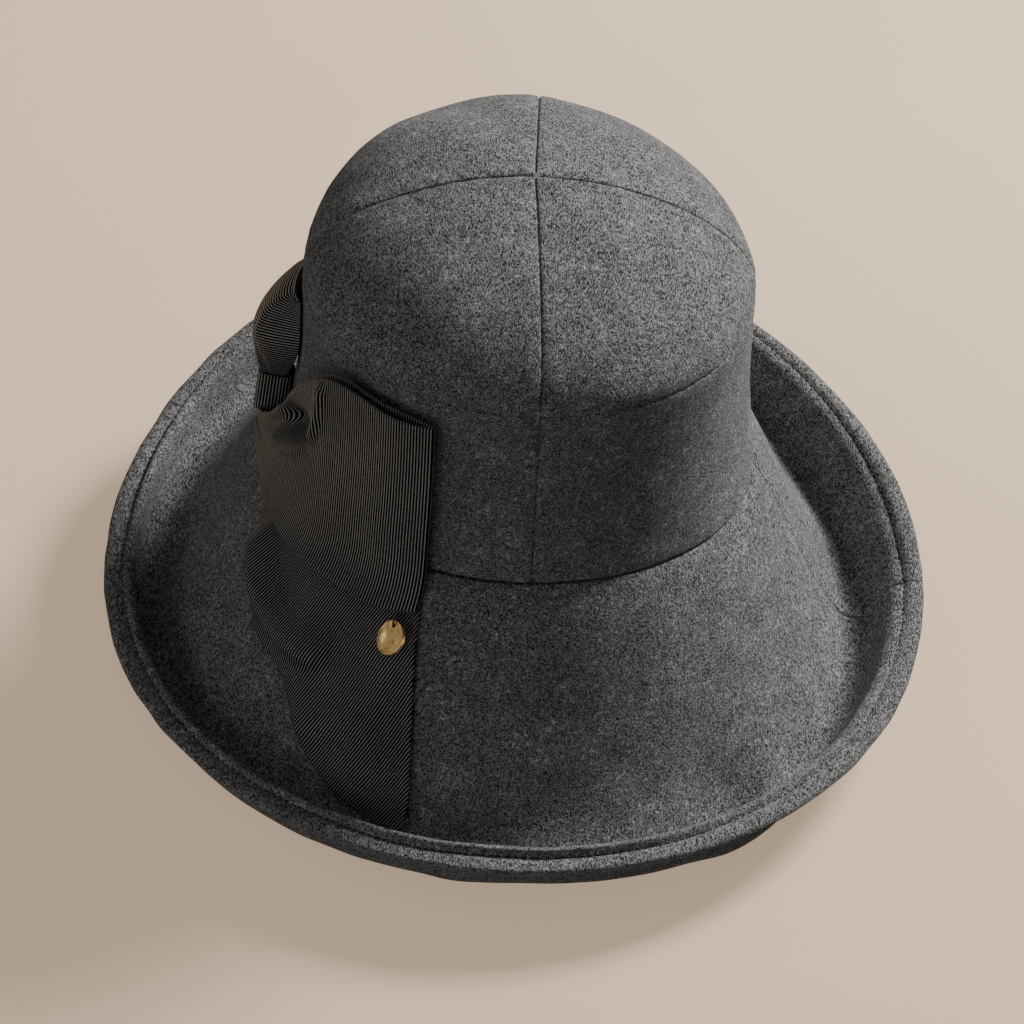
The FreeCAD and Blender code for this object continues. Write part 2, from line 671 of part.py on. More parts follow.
# ---- charm ------------------------------------------------------------------------------
def charm_frame(turn=0.0):
    """Origin where the thread is sewn to the front loop's lower edge.

    X runs along the edge of the ribbon, Z up the leaning face of the charm, until the
    frame is turned about Z.
    """
    share = (CHARM_AT - BOW_AT) / LOOP_REACH
    _, low, _, lift = loop_station(share, True, LOOP_REACH, LOOP_TOP, LOOP_BOTTOM)
    phi, point = on_hat(CHARM_AT, low, lift)
    point = (point[0], point[1] - THREAD / 2 - 2 * SEWN_EASE)
    lean = math.radians(CHARM_LEAN)
    out = outward(CHARM_AT)
    up = out * (-math.cos(lean)) + V(0, 0, 1) * math.sin(lean)
    turned = FreeCAD.Placement(V(0, 0, 0), FreeCAD.Rotation(V(0, 0, 1), turn))
    return frame_at(place(phi, point), out, up).multiply(turned)


def disc():
    """The charm: a flat disc with a raised rim on both faces and a hole near its edge."""
    r = CHARM_DIAMETER / 2
    t = CHARM_THICKNESS / 2
    rim = CHARM_RIM_HEIGHT
    profile = [(0, -t), (r - CHARM_RIM, -t), (r - CHARM_RIM * 0.8, -t - rim), (r - 0.15, -t - rim),
               (r, -t - rim + 0.15), (r, t + rim - 0.15), (r - 0.15, t + rim),
               (r - CHARM_RIM * 0.8, t + rim), (r - CHARM_RIM, t), (0, t)]
    points = [V(x, y, 0) for x, y in profile]
    face = Part.Face(Part.makePolygon(points + points[:1]))
    body = face.revolve(V(0, 0, 0), V(0, 1, 0), 360)
    drop = r - CHARM_HOLE_INSET
    body.translate(V(0, 0, -THREAD_LOOP - drop))
    hole = Part.makeCylinder(CHARM_HOLE / 2, 4 * CHARM_THICKNESS,
                             V(0, -2 * CHARM_THICKNESS, -THREAD_LOOP), V(0, 1, 0))
    return body.cut(hole)


def thread_loop():
    """The loop of thread that the charm hangs from: a drop shape, square to the charm."""
    wide = CHARM_THICKNESS / 2 + CHARM_RIM_HEIGHT + THREAD / 2 + THREAD_EASE
    foot = wide - THREAD_LOOP
    lean = math.degrees(math.asin(wide / -foot))
    sweep = 180 + 2 * lean
    bend = Part.makeTorus(wide, THREAD / 2, V(0, 0, 0), V(1, 0, 0), -180, 180, sweep)
    bend.rotate(V(0, 0, 0), V(1, 0, 0), 180 - sweep / 2)
    bend.translate(V(0, 0, foot))
    loop = Part.makeSphere(THREAD / 2).fuse(bend)
    for side in (-1, 1):
        strand = Part.makeCylinder(THREAD / 2, math.sqrt(foot * foot - wide * wide),
                                   V(0, 0, 0), V(0, 0, -1))
        strand.rotate(V(0, 0, 0), V(1, 0, 0), side * lean)
        loop = loop.fuse(strand)
    return loop.removeSplitter()


def charm():
    pieces = {"charm_disc": disc(), "charm_thread": thread_loop()}
    for shape in pieces.values():
        shape.Placement = charm_frame(-CHARM_TURN).multiply(shape.Placement)
    return pieces


if __name__ == "__main__":
    os.makedirs("parts", exist_ok=True)
    pieces = {}
    pieces.update(crown())
    pieces.update(inside())
    pieces.update(brim())
    pieces.update(bow())
    pieces.update(charm())
    for name, shape in pieces.items():
        shape.exportStep("parts/%s.step" % name)
    print(len(pieces), "pieces")
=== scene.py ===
"""A sewn, wide-brimmed wool cloche with a grosgrain bow and a small hanging charm.

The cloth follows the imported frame: each skin of the hat is read from it by casting rays,
turned into a smooth grid, and then given its seams, puckers, dents and stitches.
Angles go round the crown from centre front (-Y) towards +X.  Lengths are in metres.
"""
from functools import cache
import json
import math

import bpy
import numpy as np
from mathutils import Matrix, Vector
from mathutils.bvhtree import BVHTree


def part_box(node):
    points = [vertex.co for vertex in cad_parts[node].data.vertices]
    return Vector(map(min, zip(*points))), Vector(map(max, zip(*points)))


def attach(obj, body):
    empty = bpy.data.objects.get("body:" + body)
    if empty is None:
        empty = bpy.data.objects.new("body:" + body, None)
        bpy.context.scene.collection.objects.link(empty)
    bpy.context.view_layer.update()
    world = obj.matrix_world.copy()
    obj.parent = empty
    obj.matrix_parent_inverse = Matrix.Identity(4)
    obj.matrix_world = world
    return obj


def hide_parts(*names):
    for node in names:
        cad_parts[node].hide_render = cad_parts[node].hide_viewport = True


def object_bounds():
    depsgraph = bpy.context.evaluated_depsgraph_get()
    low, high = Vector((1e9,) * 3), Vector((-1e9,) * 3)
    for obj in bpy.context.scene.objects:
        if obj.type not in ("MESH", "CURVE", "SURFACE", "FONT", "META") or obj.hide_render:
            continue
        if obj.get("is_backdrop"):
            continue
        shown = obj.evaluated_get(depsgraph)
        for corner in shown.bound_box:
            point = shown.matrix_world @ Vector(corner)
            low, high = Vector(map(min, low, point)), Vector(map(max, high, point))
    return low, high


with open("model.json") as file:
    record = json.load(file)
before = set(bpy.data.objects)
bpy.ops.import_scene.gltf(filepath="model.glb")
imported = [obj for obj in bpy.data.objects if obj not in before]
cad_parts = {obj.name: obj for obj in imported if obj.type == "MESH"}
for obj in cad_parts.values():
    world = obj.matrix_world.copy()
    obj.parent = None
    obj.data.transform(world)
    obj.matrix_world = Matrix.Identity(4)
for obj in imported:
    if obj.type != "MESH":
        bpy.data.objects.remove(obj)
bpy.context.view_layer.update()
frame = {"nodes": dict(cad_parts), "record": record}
MM = 0.001

TIPS = ["crown_tip_front_left", "crown_tip_front_right",
        "crown_tip_back_right", "crown_tip_back_left"]
SIDES = ["crown_side_left", "crown_side_right"]
TOPS = ["brim_top_front", "brim_top_back"]
UNDERS = ["brim_under_front", "brim_under_back"]


# ---- what the frame says ----
def span(names, axis):
    """Lowest and highest value of some nodes along one axis."""
    boxes = [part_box(n) for n in names]
    return min(b[0][axis] for b in boxes), max(b[1][axis] for b in boxes)


def tree_of(names):
    verts, faces = [], []
    for n in names:
        mesh = frame["nodes"][n].data
        base = len(verts)
        verts += [v.co.copy() for v in mesh.vertices]
        faces += [[base + i for i in p.vertices] for p in mesh.polygons]
    return BVHTree.FromPolygons(verts, faces)


AXIS_Y = sum(span(SIDES, 1)) / 2  # the crown's upright axis is at X = 0
RING_FRONT = span(SIDES, 2)[1]  # the ring seam is highest in front
RING_SIDE = span(TIPS, 2)[0]  # and lowest over the ears
SEAM_FRONT = span(TOPS, 2)[1]  # the same for the brim seam
SEAM_SIDE = span(SIDES, 2)[0]
HEM = 8.4 * MM  # from the topstitching out to the edge
SIDE_SEAM = 84.0  # the brim's side seams, degrees from front
FRONT_SEAM, BACK_SEAM = 1, 177  # the crown's seams, a little off the middle
TIP_CENTRE = RING_SIDE - 0.03  # rays that read the tip aim at this height
FAR = 0.5  # rays from outside start this far off


def ring_z(phi):
    return RING_FRONT - (RING_FRONT - RING_SIDE) * math.sin(phi) ** 2


def seam_z(phi):
    return SEAM_FRONT - (SEAM_FRONT - SEAM_SIDE) * math.sin(phi) ** 2


def point(phi, r, z):
    return Vector((r * math.sin(phi), AXIS_Y - r * math.cos(phi), z))


def points(phis, rs, zs):
    return np.stack((rs * np.sin(phis), AXIS_Y - rs * np.cos(phis), zs), -1)


def radius(p):
    return math.hypot(p.x, p.y - AXIS_Y)


crown_tree = tree_of(TIPS + SIDES)
brim_tree = tree_of(TOPS + UNDERS)


def wall_radius(tree, phi, z, start=FAR, aim=0):
    """Radius of a skin at a height, seen from outside; nan where a ray meets nothing."""
    start = point(phi, start, z)
    hit = tree.ray_cast(start, (point(phi, aim, z) - start).normalized())[0]
    return radius(hit) if hit else np.nan


def over(tree, phi, r, up):
    """Height of a skin at a radius, seen from above (up = 1) or below (-1)."""
    hit = tree.ray_cast(point(phi, r, up * FAR), Vector((0, 0, -up)))[0]
    return hit.z if hit else np.nan


# ---- skins: profiles round the axis, smoothed by a short Fourier series ----
class Skin:
    """A surface of (radius, height) profiles round the crown's axis."""

    def __init__(self, profile, harmonics=36):
        count = 360
        self.phis = (np.arange(count) + 0.5) * 2 * math.pi / count
        table = np.array([profile(p) for p in self.phis])
        self.k = np.arange(harmonics + 1)
        waves = np.exp(-1j * np.outer(self.k, self.phis))
        self.coef = np.tensordot(waves, table, 1) / count
        self.coef[1:] *= 2

    def rz(self, phis):
        return np.tensordot(np.exp(1j * np.outer(phis, self.k)), self.coef, 1).real

    def at(self, phis):
        rz = self.rz(phis)
        return points(phis[:, None], rz[..., 0], rz[..., 1])


NEAR = np.array([0, .2, .45, .8, 1.3, 2.0, 2.9, 4.0, 5.4, 7.2]) * MM


def stations(length, near_end=True, step=2.2 * MM):
    """Distances along a row of the given length, close together near sewn edges."""
    b = length - (NEAR if near_end else np.array([0.0]))
    count = max(2, int((b[-1] - NEAR[-1]) / step))
    return np.r_[NEAR, np.linspace(NEAR[-1], b[-1], count + 1)[1:-1], b[::-1]]


def resampled(line, marks):
    """Places on a polyline at the given shares of its length."""
    line = np.array(line)
    s = np.concatenate(([0], np.cumsum(np.hypot(*np.diff(line, axis=0).T))))
    return np.stack([np.interp(marks * s[-1], s, line[:, i]) for i in (0, 1)], -1)


TIP_LENGTH = 0.112
TIP_MARKS = 1 - stations(TIP_LENGTH, False)[::-1] / TIP_LENGTH
BAND_LENGTH = RING_FRONT - SEAM_FRONT
BAND_MARKS = stations(BAND_LENGTH) / BAND_LENGTH


def tip_profile(phi):
    r1 = wall_radius(crown_tree, phi, ring_z(phi) - 1.0 * MM)
    low = math.atan2(ring_z(phi) - TIP_CENTRE, r1)
    out = []
    for angle in np.linspace(math.radians(89.0), low + 0.005, 90):
        way = point(phi, math.cos(angle), math.sin(angle)) - point(phi, 0, 0)
        start = point(phi, 0, TIP_CENTRE) + way.normalized() * FAR
        hit = crown_tree.ray_cast(start, -way.normalized())[0]
        out.append((radius(hit), hit.z))
    out = [(0.0, out[0][1])] + out + [(r1, ring_z(phi))]
    return resampled(out, TIP_MARKS)


def band_profile(phi):
    z1, z0 = ring_z(phi), seam_z(phi)
    zs = np.linspace(z1 - 0.6 * MM, z0 + 0.6 * MM, 24)
    rs = [wall_radius(crown_tree, phi, z) for z in zs]
    out = [(rs[0], z1)] + list(zip(rs, zs)) + [(rs[-1], z0)]
    return resampled(out, BAND_MARKS)


tip_skin = Skin(tip_profile, 16)
band_skin = Skin(band_profile, 16)

SLOPE_LENGTH = 0.062
SLOPE_MARKS = stations(SLOPE_LENGTH, False, 1.8 * MM) / SLOPE_LENGTH
WALL_MARKS = np.linspace(0, 1, 17)[1:]
HEM_MARKS = np.array([.06, .12, .2, .35, .5, .65, .8, .9, 1.0])


@cache
def brim_edge(phi):
    """The largest radius at which the brim is met from above."""
    low, high = 0.13, 0.21
    for _ in range(16):
        mid = (low + high) / 2
        low, high = (mid, high) if over(brim_tree, phi, mid, 1) > 0 else (low, mid)
    return low


def brim_profile(phi, up):
    """One face of the brim: seam, slope, valley, turn-up, topstitching, hem, edge."""
    edge = brim_edge(phi)
    r0 = wall_radius(crown_tree, phi, seam_z(phi) + 1.0 * MM)
    start = r0 + (0.8 * MM if up > 0 else -1.0 * MM)
    rs = np.concatenate((np.linspace(start, edge - 1.2 * MM, 110),
                         edge - np.array([.9, .6, .4, .25, .12, .05]) * MM))
    zs = np.array([over(brim_tree, phi, r, up) for r in rs])
    good = ~np.isnan(zs)
    rs, zs = rs[good], zs[good]
    if up > 0:
        rs, zs = np.r_[r0, rs], np.r_[seam_z(phi), zs]
    valley = int(np.argmin(np.where(rs < edge - HEM, zs, 9)))
    crest = int(np.argmin(abs(rs - (edge - HEM))))
    line = np.stack((rs, zs), -1)
    parts = [resampled(line[:valley + 1], SLOPE_MARKS),
             resampled(line[valley:crest + 1], WALL_MARKS),
             resampled(line[crest:], HEM_MARKS)]
    return np.concatenate(parts)


top_skin = Skin(lambda phi: brim_profile(phi, 1))
under_skin = Skin(lambda phi: brim_profile(phi, -1))
VALLEY = len(SLOPE_MARKS) - 1
CREST = VALLEY + len(WALL_MARKS)


# ---- meshes ----
def linked(name, data):
    made = bpy.data.objects.new(name, data)
    bpy.context.scene.collection.objects.link(made)
    return made


def new_piece(name, verts, faces, body="hat", uv=None):
    """A smooth piece that rides one body; uv has the flat place of each point."""
    mesh = bpy.data.meshes.new(name)
    mesh.from_pydata(verts, [], faces)
    mesh.polygons.foreach_set("use_smooth", [True] * len(mesh.polygons))
    if uv is not None:
        layer = mesh.uv_layers.new(name="flat")
        corners = np.zeros(len(mesh.loops), int)
        mesh.loops.foreach_get("vertex_index", corners)
        layer.data.foreach_set("uv", uv.reshape(-1, 2)[corners].ravel())
    mesh.update()
    piece = linked(name, mesh)
    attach(piece, body)
    return piece


def corners_of(index):
    """The four corners of every square in a grid of point numbers."""
    return index[:-1, :-1], index[1:, :-1], index[1:, 1:], index[:-1, 1:]


def grid_object(name, grid, uv=None, flip=False, wrap=False):
    """A smooth mesh over a grid of points, n rows by m columns."""
    n, m = grid.shape[:2]
    index = np.arange(n * m).reshape(n, m)
    if wrap:
        index = np.vstack((index, index[:1]))
    a, b, c, d = corners_of(index)
    quads = np.stack((a, d, c, b) if flip else (a, b, c, d), -1).reshape(-1, 4)
    return new_piece(name, grid.reshape(-1, 3).tolist(), quads.tolist(), uv=uv)


def normals_of(grid):
    """Unit normals of a grid; they point off the hat where rows go round it anticlockwise."""
    along = np.gradient(grid, axis=0)
    across = np.gradient(grid, axis=1)
    n = np.cross(across, along)
    size = np.linalg.norm(n, axis=-1, keepdims=True)
    return n / np.maximum(size, 1e-12)


def arc(grid, axis):
    """Distance along each row or column of a grid from its start."""
    step = np.linalg.norm(np.diff(grid, axis=axis), axis=-1)
    zero = np.zeros_like(np.take(step, [0], axis))
    return np.concatenate((zero, np.cumsum(step, axis)), axis)


def ripple(grid, shortest, longest, height, seed, count=16):
    """Gentle unevenness of soft cloth: a sum of waves in random directions."""
    own = np.random.default_rng(int(seed) % 9973)
    total = np.zeros(grid.shape[:-1])
    for _ in range(count):
        way = own.normal(size=3)
        way *= 2 * math.pi / own.uniform(shortest, longest) / np.linalg.norm(way)
        total += np.sin(grid @ way + own.uniform(0, 2 * math.pi))
    return total * height / math.sqrt(count)


def sewn(distance, along, seed):
    """How far cloth lies inward near a seam: rolled in at it, a little full beside it."""
    own = np.random.default_rng(int(seed) % 9973)
    fold = 1.0 * MM * np.exp(-(distance / (0.42 * MM)) ** 1.3)
    full = -0.28 * MM * np.exp(-((distance - 4.5 * MM) / (3.4 * MM)) ** 2)
    pucker = np.zeros_like(distance)
    for _ in range(5):
        k = 2 * math.pi / own.uniform(5.5 * MM, 13 * MM)
        pucker += 0.06 * MM * np.sin(along * k + own.uniform(0, 6.3))
    return fold + full + pucker * np.exp(-distance / (4.0 * MM))


def bump(x, middle, width):
    return np.exp(-((x - middle) / width) ** 2)


def blend(a, b, share):
    return a + (b - a) * share


def near(phis, zs, line, width):
    """Nearness, 0 to 1, to a line of places: degrees round the hat, mm above the brim seam."""
    reach = 0.115
    x, y = phis * reach, zs - SEAM_FRONT
    best = np.full(np.broadcast(x, y).shape, 9.0)
    line = [(math.radians(a) * reach, z * MM) for a, z in line]
    for (x0, y0), (x1, y1) in zip(line, line[1:]):
        t = ((x - x0) * (x1 - x0) + (y - y0) * (y1 - y0)) / ((x1 - x0) ** 2 + (y1 - y0) ** 2)
        t = np.clip(t, 0, 1)
        best = np.minimum(best, np.hypot(x - x0 - t * (x1 - x0), y - y0 - t * (y1 - y0)))
    return np.exp(-(best / width) ** 2)


def sample(grid, a, b):
    """Points of a grid at fractional row and column numbers, smoothly between its own."""
    n, m = grid.shape[:2]
    i = np.clip(np.floor(a).astype(int), 0, n - 2)
    j = np.clip(np.floor(b).astype(int), 0, m - 2)
    total = 0
    for di, wi in zip((-1, 0, 1, 2), cubic(a - i)):
        for dj, wj in zip((-1, 0, 1, 2), cubic(b - j)):
            at = grid[np.clip(i + di, 0, n - 1), np.clip(j + dj, 0, m - 1)]
            total = total + at * (wi * wj)[..., None]
    return total


def cubic(f):
    return (-f / 2 + f * f - f ** 3 / 2, 1 - 2.5 * f * f + 1.5 * f ** 3,
            f / 2 + 2 * f * f - 1.5 * f ** 3, -f * f / 2 + f ** 3 / 2)


# ---- wool panels ----
def panel_phis(start, stop, reach):
    """Angles across a panel, close together near the seams at its two sides."""
    length = math.radians(stop - start) * reach
    return math.radians(start) + stations(length) / reach


def panel(node, skin, start, stop, reach, sewn_ends, seed, shape=None):
    """A wool panel between two angles; sewn_ends says if its top and its foot are sewn."""
    phis = panel_phis(start, stop, reach)
    grid = skin.at(phis)
    up = normals_of(grid)
    across, along = arc(grid, 0), arc(grid, 1)
    inward = sewn(across, along, seed) + sewn(across[-1:] - across, along, seed + 1)
    if sewn_ends[0]:
        inward += sewn(along, across, seed + 2)
    if sewn_ends[1]:
        inward += sewn(along[:, -1:] - along, across, seed + 3)
    inward = np.minimum(inward, 1.3 * MM)
    outward = ripple(grid, 16 * MM, 45 * MM, 0.16 * MM, 99) - inward
    if shape is not None:
        outward += shape(phis, along)
    grid = grid + up * outward[..., None]
    if all(sewn_ends):
        grid = np.concatenate((grid, turned_in(grid[:, -1:])), 1)
    piece = grid_object("wool_" + node, grid)
    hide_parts(node)
    return piece


def turned_in(edge, depth=3.6 * MM):
    """The seam allowance, turned in level towards the crown's axis."""
    share = 1 - depth / np.hypot(edge[..., 0], edge[..., 1] - AXIS_Y)
    return np.stack((edge[..., 0] * share, AXIS_Y + (edge[..., 1] - AXIS_Y) * share,
                     edge[..., 2]), -1)


def tip_shape(phis, along):
    """The seams pull the tip into four slight lobes, and a ridge stands at the back."""
    deg = np.degrees(phis)[:, None]
    share = along / along[:, -1:]
    lobes = -0.8 * MM * np.cos(4 * phis)[:, None] * np.sin(math.pi * share) ** 1.2
    ridge = 0.8 * MM * bump(deg, 186.0, 7.0) * bump(share, 0.62, 0.22)
    dimple = -1.1 * MM * bump(deg, 203.0, 9.0) * bump(share, 0.66, 0.2)
    return lobes + ridge + dimple


wool = []
TIP_CUTS = (-90, FRONT_SEAM, 90, BACK_SEAM, 270)
TIP_REACH, BAND_REACH, BRIM_REACH = 0.1, 0.095, 0.16  # radii that space a panel's rows
for k, node in enumerate(TIPS):
    wool.append(panel(node, tip_skin, TIP_CUTS[k], TIP_CUTS[k + 1], TIP_REACH,
                      (False, True), 10 + 5 * k, tip_shape))
for node, start, stop in ((SIDES[0], BACK_SEAM, 360 + FRONT_SEAM),
                          (SIDES[1], FRONT_SEAM, BACK_SEAM)):
    wool.append(panel(node, band_skin, start, stop, BAND_REACH, (True, True), 40 + start))


# ---- brim ----
# dents of the soft brim: angle, share of the way from seam to valley, half widths, depth
DENTS = [
    (31.0, 0.97, 7.0, 0.20, 3.4 * MM),
    (-8.0, 0.95, 4.5, 0.16, 2.2 * MM),
    (-92.0, 0.90, 16.0, 0.30, 1.6 * MM),
    (118.0, 0.85, 12.0, 0.30, 1.8 * MM),
    (-38.0, 0.70, 12.0, 0.25, 1.2 * MM),
    (41.0, 0.98, 4.0, 0.22, -1.6 * MM),  # the cloth stands up beside the first one
]


def brim_shape(deg, count):
    """Displacement off the brim's slope by its dents."""
    mark = np.arange(count)[None, :] / VALLEY
    out = np.zeros((len(deg), count))
    for angle, share, wide, deep, depth in DENTS:
        out -= depth * bump(deg, angle, wide) * bump(mark, share, deep)
    return out


STITCH_IN = 1.0 * MM  # from the top of the roll to the stitches
STITCH_STEP = 3.1 * MM
STITCH_LENGTH = 2.3 * MM
STITCH_RADIUS = 0.24 * MM
STITCHES = []  # (start, end, outward) of each stitch


def hem_lift(deg, count):
    """The hem stands up at the wearer's left, and rolls down in front and at the right."""
    row = np.arange(count)[None, :] - CREST
    share, past = (np.clip((row + more) / (count - 1.0 - CREST + more), 0, 1) for more in (3, 0))
    steep = np.sin(math.pi * past ** 0.7) * (bump(deg, 0.0, 62.0) + 0.7 * bump(deg, -85.0, 40.0))
    return 6.5 * MM * bump(deg, 97.0, 27.0) * share ** 1.3 - 3.0 * MM * steep


def bent(grid, normals, phis):
    """A face of the brim with its dents and with its hem lifted."""
    deg = (np.degrees(phis)[:, None] + 180) % 360 - 180
    grid = grid + normals * brim_shape(deg, grid.shape[1])[..., None]
    grid[..., 2] += hem_lift(deg, grid.shape[1])
    return grid


def hem_stitches(grid, along):
    """Places of the topstitching, in the groove round the hem."""
    up = normals_of(grid)
    want = along[:, CREST] + STITCH_IN
    rows = np.array([np.interp(x, line, np.arange(len(line))) for x, line in zip(want, along)])
    line, ups = (sample(table, np.arange(len(rows)), rows) for table in (grid, up))
    run = np.r_[0, np.cumsum(np.linalg.norm(np.diff(line, axis=0), axis=1))]

    def read(table, where):
        return np.array([np.interp(where, run, table[:, k]) for k in range(3)])

    for start in np.arange(1.5 * MM, run[-1] - 3.5 * MM, STITCH_STEP):
        end = start + STITCH_LENGTH
        STITCHES.append((read(line, start), read(line, end), read(ups, start)))


def topstitching():
    """The stitches themselves: short, slightly humped lengths of thread."""
    # along each stitch: share of its length, thickness, height in mm
    humps = ((0, .4, -.25), (.2, 1, .1), (.5, 1.1, .22), (.8, 1, .1), (1, .4, -.25))
    sides, rings = 6, len(humps)
    verts, faces = [], []
    for start, end, out in STITCHES:
        way = (end - start) / np.linalg.norm(end - start)
        side = np.cross(way, out)
        for share, thick, rise in humps:
            centre = blend(start, end, share) + out * rise * MM
            for t in np.arange(sides) * 2 * math.pi / sides:
                verts.append(centre + (side * math.cos(t) + out * math.sin(t))
                             * thick * STITCH_RADIUS)
        base, last = len(verts) - sides * rings, len(verts) - sides
        for ring in range(base, last, sides):
            for k in range(sides):
                a, b = ring + k, ring + (k + 1) % sides
                faces.append((a, b, b + sides, a + sides))
        faces += [tuple(range(base, base + sides))[::-1], tuple(range(last, last + sides))]
    return new_piece("hem_stitches", [tuple(v) for v in verts], faces)


def brim_half(start, stop):
    """Both faces of half the brim, from the seam to the edge, and their stitches."""
    phis = panel_phis(start, stop, BRIM_REACH)
    grids = []
    for skin, sign in ((top_skin, 1), (under_skin, -1)):
        grid = skin.at(phis)
        up = normals_of(grid) * sign
        across, along = arc(grid, 0), arc(grid, 1)
        inward = sewn(across, along, 60 + start) + sewn(across[-1:] - across, along, 61)
        rows = np.arange(grid.shape[1])
        inward = inward * np.where(rows < VALLEY - 4, 0.3, np.where(rows < CREST, 1.0, 0.45))
        if sign > 0:
            inward += sewn(along, across, 62)
            groove = along - along[:, CREST:CREST + 1] - STITCH_IN
            inward += 0.75 * MM * np.exp(-(groove / (0.75 * MM)) ** 2)
        else:
            groove = along - along[:, CREST:CREST + 1]
            inward += 0.45 * MM * np.exp(-(groove / (0.7 * MM)) ** 2)
        inward = np.minimum(inward, 1.2 * MM)
        edge = np.clip((along[:, -1:] - along) / (2 * MM), 0, 1)
        out = ripple(grid, 16 * MM, 50 * MM, 0.2 * MM, 98) - inward * edge
        grid = bent(grid + up * out[..., None], up * sign, phis)
        if sign > 0:
            hem_stitches(grid, along)
        grids.append(grid)
    return grids


def brim_edge_points(top, under):
    """Rows that carry the cloth round the outer edge, from the top face to the under face."""
    a, b = top[:, -1], under[:, -1]
    out = a - top[:, -3]
    out /= np.linalg.norm(out, axis=-1, keepdims=True)
    gap = np.linalg.norm(b - a, axis=-1, keepdims=True)
    rows = []
    for s in np.linspace(0, 1, 7)[1:-1]:
        rows.append(blend(a, b, s) + out * gap * 0.42 * math.sin(math.pi * s))
    return np.stack(rows, 1)


def canvas():
    """The interlining, midway between the two cloths of the brim and as dented as they are."""
    phis = np.arange(360) * 2 * math.pi / 360
    rows = []
    for skin in (top_skin, under_skin):
        grid = skin.at(phis)
        rows.append(bent(grid, normals_of(grid), phis)[:, 9:-5])
    piece = grid_object("canvas_brim", sum(rows) / 2, wrap=True)
    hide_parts("brim_interlining")
    return piece


for side, start, stop in (("front", -SIDE_SEAM, SIDE_SEAM), ("back", SIDE_SEAM, 360 - SIDE_SEAM)):
    top, under = brim_half(start, stop)
    edge = brim_edge_points(top, under)
    whole = np.concatenate((turned_in(top[:, :1]), top, edge[:, :3]), 1)
    for name, grid, flip in (("brim_top_" + side, whole, False),
                             ("brim_under_" + side,
                              np.concatenate((under, edge[:, ::-1][:, :3]), 1), True)):
        piece = grid_object("wool_" + name, grid, flip=flip)
        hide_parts(name)
        wool.append(piece)


# ---- ribbon ----
def smooth(table, size=1.2):
    """Evens out a table of sampled numbers without moving its borders much."""
    reach = int(3 * size) + 1
    kernel = np.exp(-0.5 * (np.arange(-reach, reach + 1) / size) ** 2)
    kernel /= kernel.sum()
    for axis in (0, 1):
        wide = [(0, 0), (0, 0)]
        wide[axis] = (reach, reach)
        padded = np.pad(table, wide, mode="reflect", reflect_type="odd")
        table = np.apply_along_axis(lambda v: np.convolve(v, kernel, "valid"), axis, padded)
    return table


def azimuths(name):
    verts = [v.co for v in frame["nodes"][name].data.vertices]
    angles = [math.atan2(v.x, AXIS_Y - v.y) for v in verts]
    return min(angles), max(angles)


def heights_at(tree, phi, low, high):
    """Lowest and highest place where a ribbon is met at one angle round the crown."""
    zs = [z for z in np.arange(low, high, 0.8 * MM) if wall_radius(tree, phi, z) > 0]
    out = []
    for inside, outside in ((zs[0], zs[0] - 0.8 * MM), (zs[-1], zs[-1] + 0.8 * MM)):
        for _ in range(6):
            mid = (inside + outside) / 2
            if wall_radius(tree, phi, mid) > 0:
                inside = mid
            else:
                outside = mid
        out.append(inside)
    return out


def inner_radius(tree, phi, z):
    """Radius of the innermost layer, seen from near the crown's axis."""
    return wall_radius(tree, phi, z, 0.03, 1)


RIBBON = 0.9 * MM  # thickness
RIBBON_WIDTH = 75 * MM
RIB = 1.2 * MM  # pitch of the grosgrain's ribs
RIB_RISE = np.array([-0.22, 0.03, 0.10, 0.10, 0.03]) * MM


def thick_sheet(name, grid, uv, thickness, relief):
    """A ribbon of real thickness: the grid's two faces and the edges between them."""
    up = normals_of(grid)
    n, m = grid.shape[:2]
    both = np.concatenate(((grid + up * (thickness / 2 + relief[..., None])).reshape(-1, 3),
                           (grid - up * thickness / 2).reshape(-1, 3)))
    index = np.arange(n * m).reshape(n, m)
    a, b, c, d = corners_of(index)
    faces = np.stack((a, b, c, d), -1).reshape(-1, 4).tolist()
    faces += (np.stack((d, c, b, a), -1).reshape(-1, 4) + n * m).tolist()
    ring = list(index[:, 0]) + list(index[-1, 1:]) + list(index[::-1, -1][1:]) \
        + list(index[0, ::-1][1:-1])
    for i, j in zip(ring, ring[1:] + ring[:1]):
        faces.append([int(j), int(i), int(i) + n * m, int(j) + n * m])
    return new_piece(name, both.tolist(), faces, uv=np.concatenate((uv, uv)))


def ribs(marks):
    """Height of the ribs at marks that are a fifth of their pitch apart."""
    return RIB_RISE[np.round(marks / (RIB / 5)).astype(int) % 5]


def ribbon(name, grid, widths, plain_after=None, thickness=0.75 * MM):
    """A length of grosgrain over a smooth grid; its ribs run across, from edge to edge."""
    length = arc(grid, 0)[:, int(grid.shape[1] * 0.45)]
    last = length[-1] if plain_after is None else length[plain_after]
    marks = np.arange(0, last, RIB / 5)
    relief = ribs(marks)
    if plain_after is not None:
        plain = np.arange(marks[-1] + 1.8 * MM, length[-1], 1.8 * MM)
        marks, relief = np.r_[marks, plain], np.r_[relief, 0 * plain]
    rows = np.interp(marks, length, np.arange(len(length)))[:, None]
    columns = np.arange(grid.shape[1])[None, :]
    fine = sample(grid, *np.broadcast_arrays(rows, columns))
    relief = relief[:, None] * np.minimum(1, np.minimum(columns, columns[:, ::-1]))
    uv = np.stack(np.broadcast_arrays(marks[:, None], widths[None]), -1)
    return thick_sheet(name, fine, uv, thickness, relief)


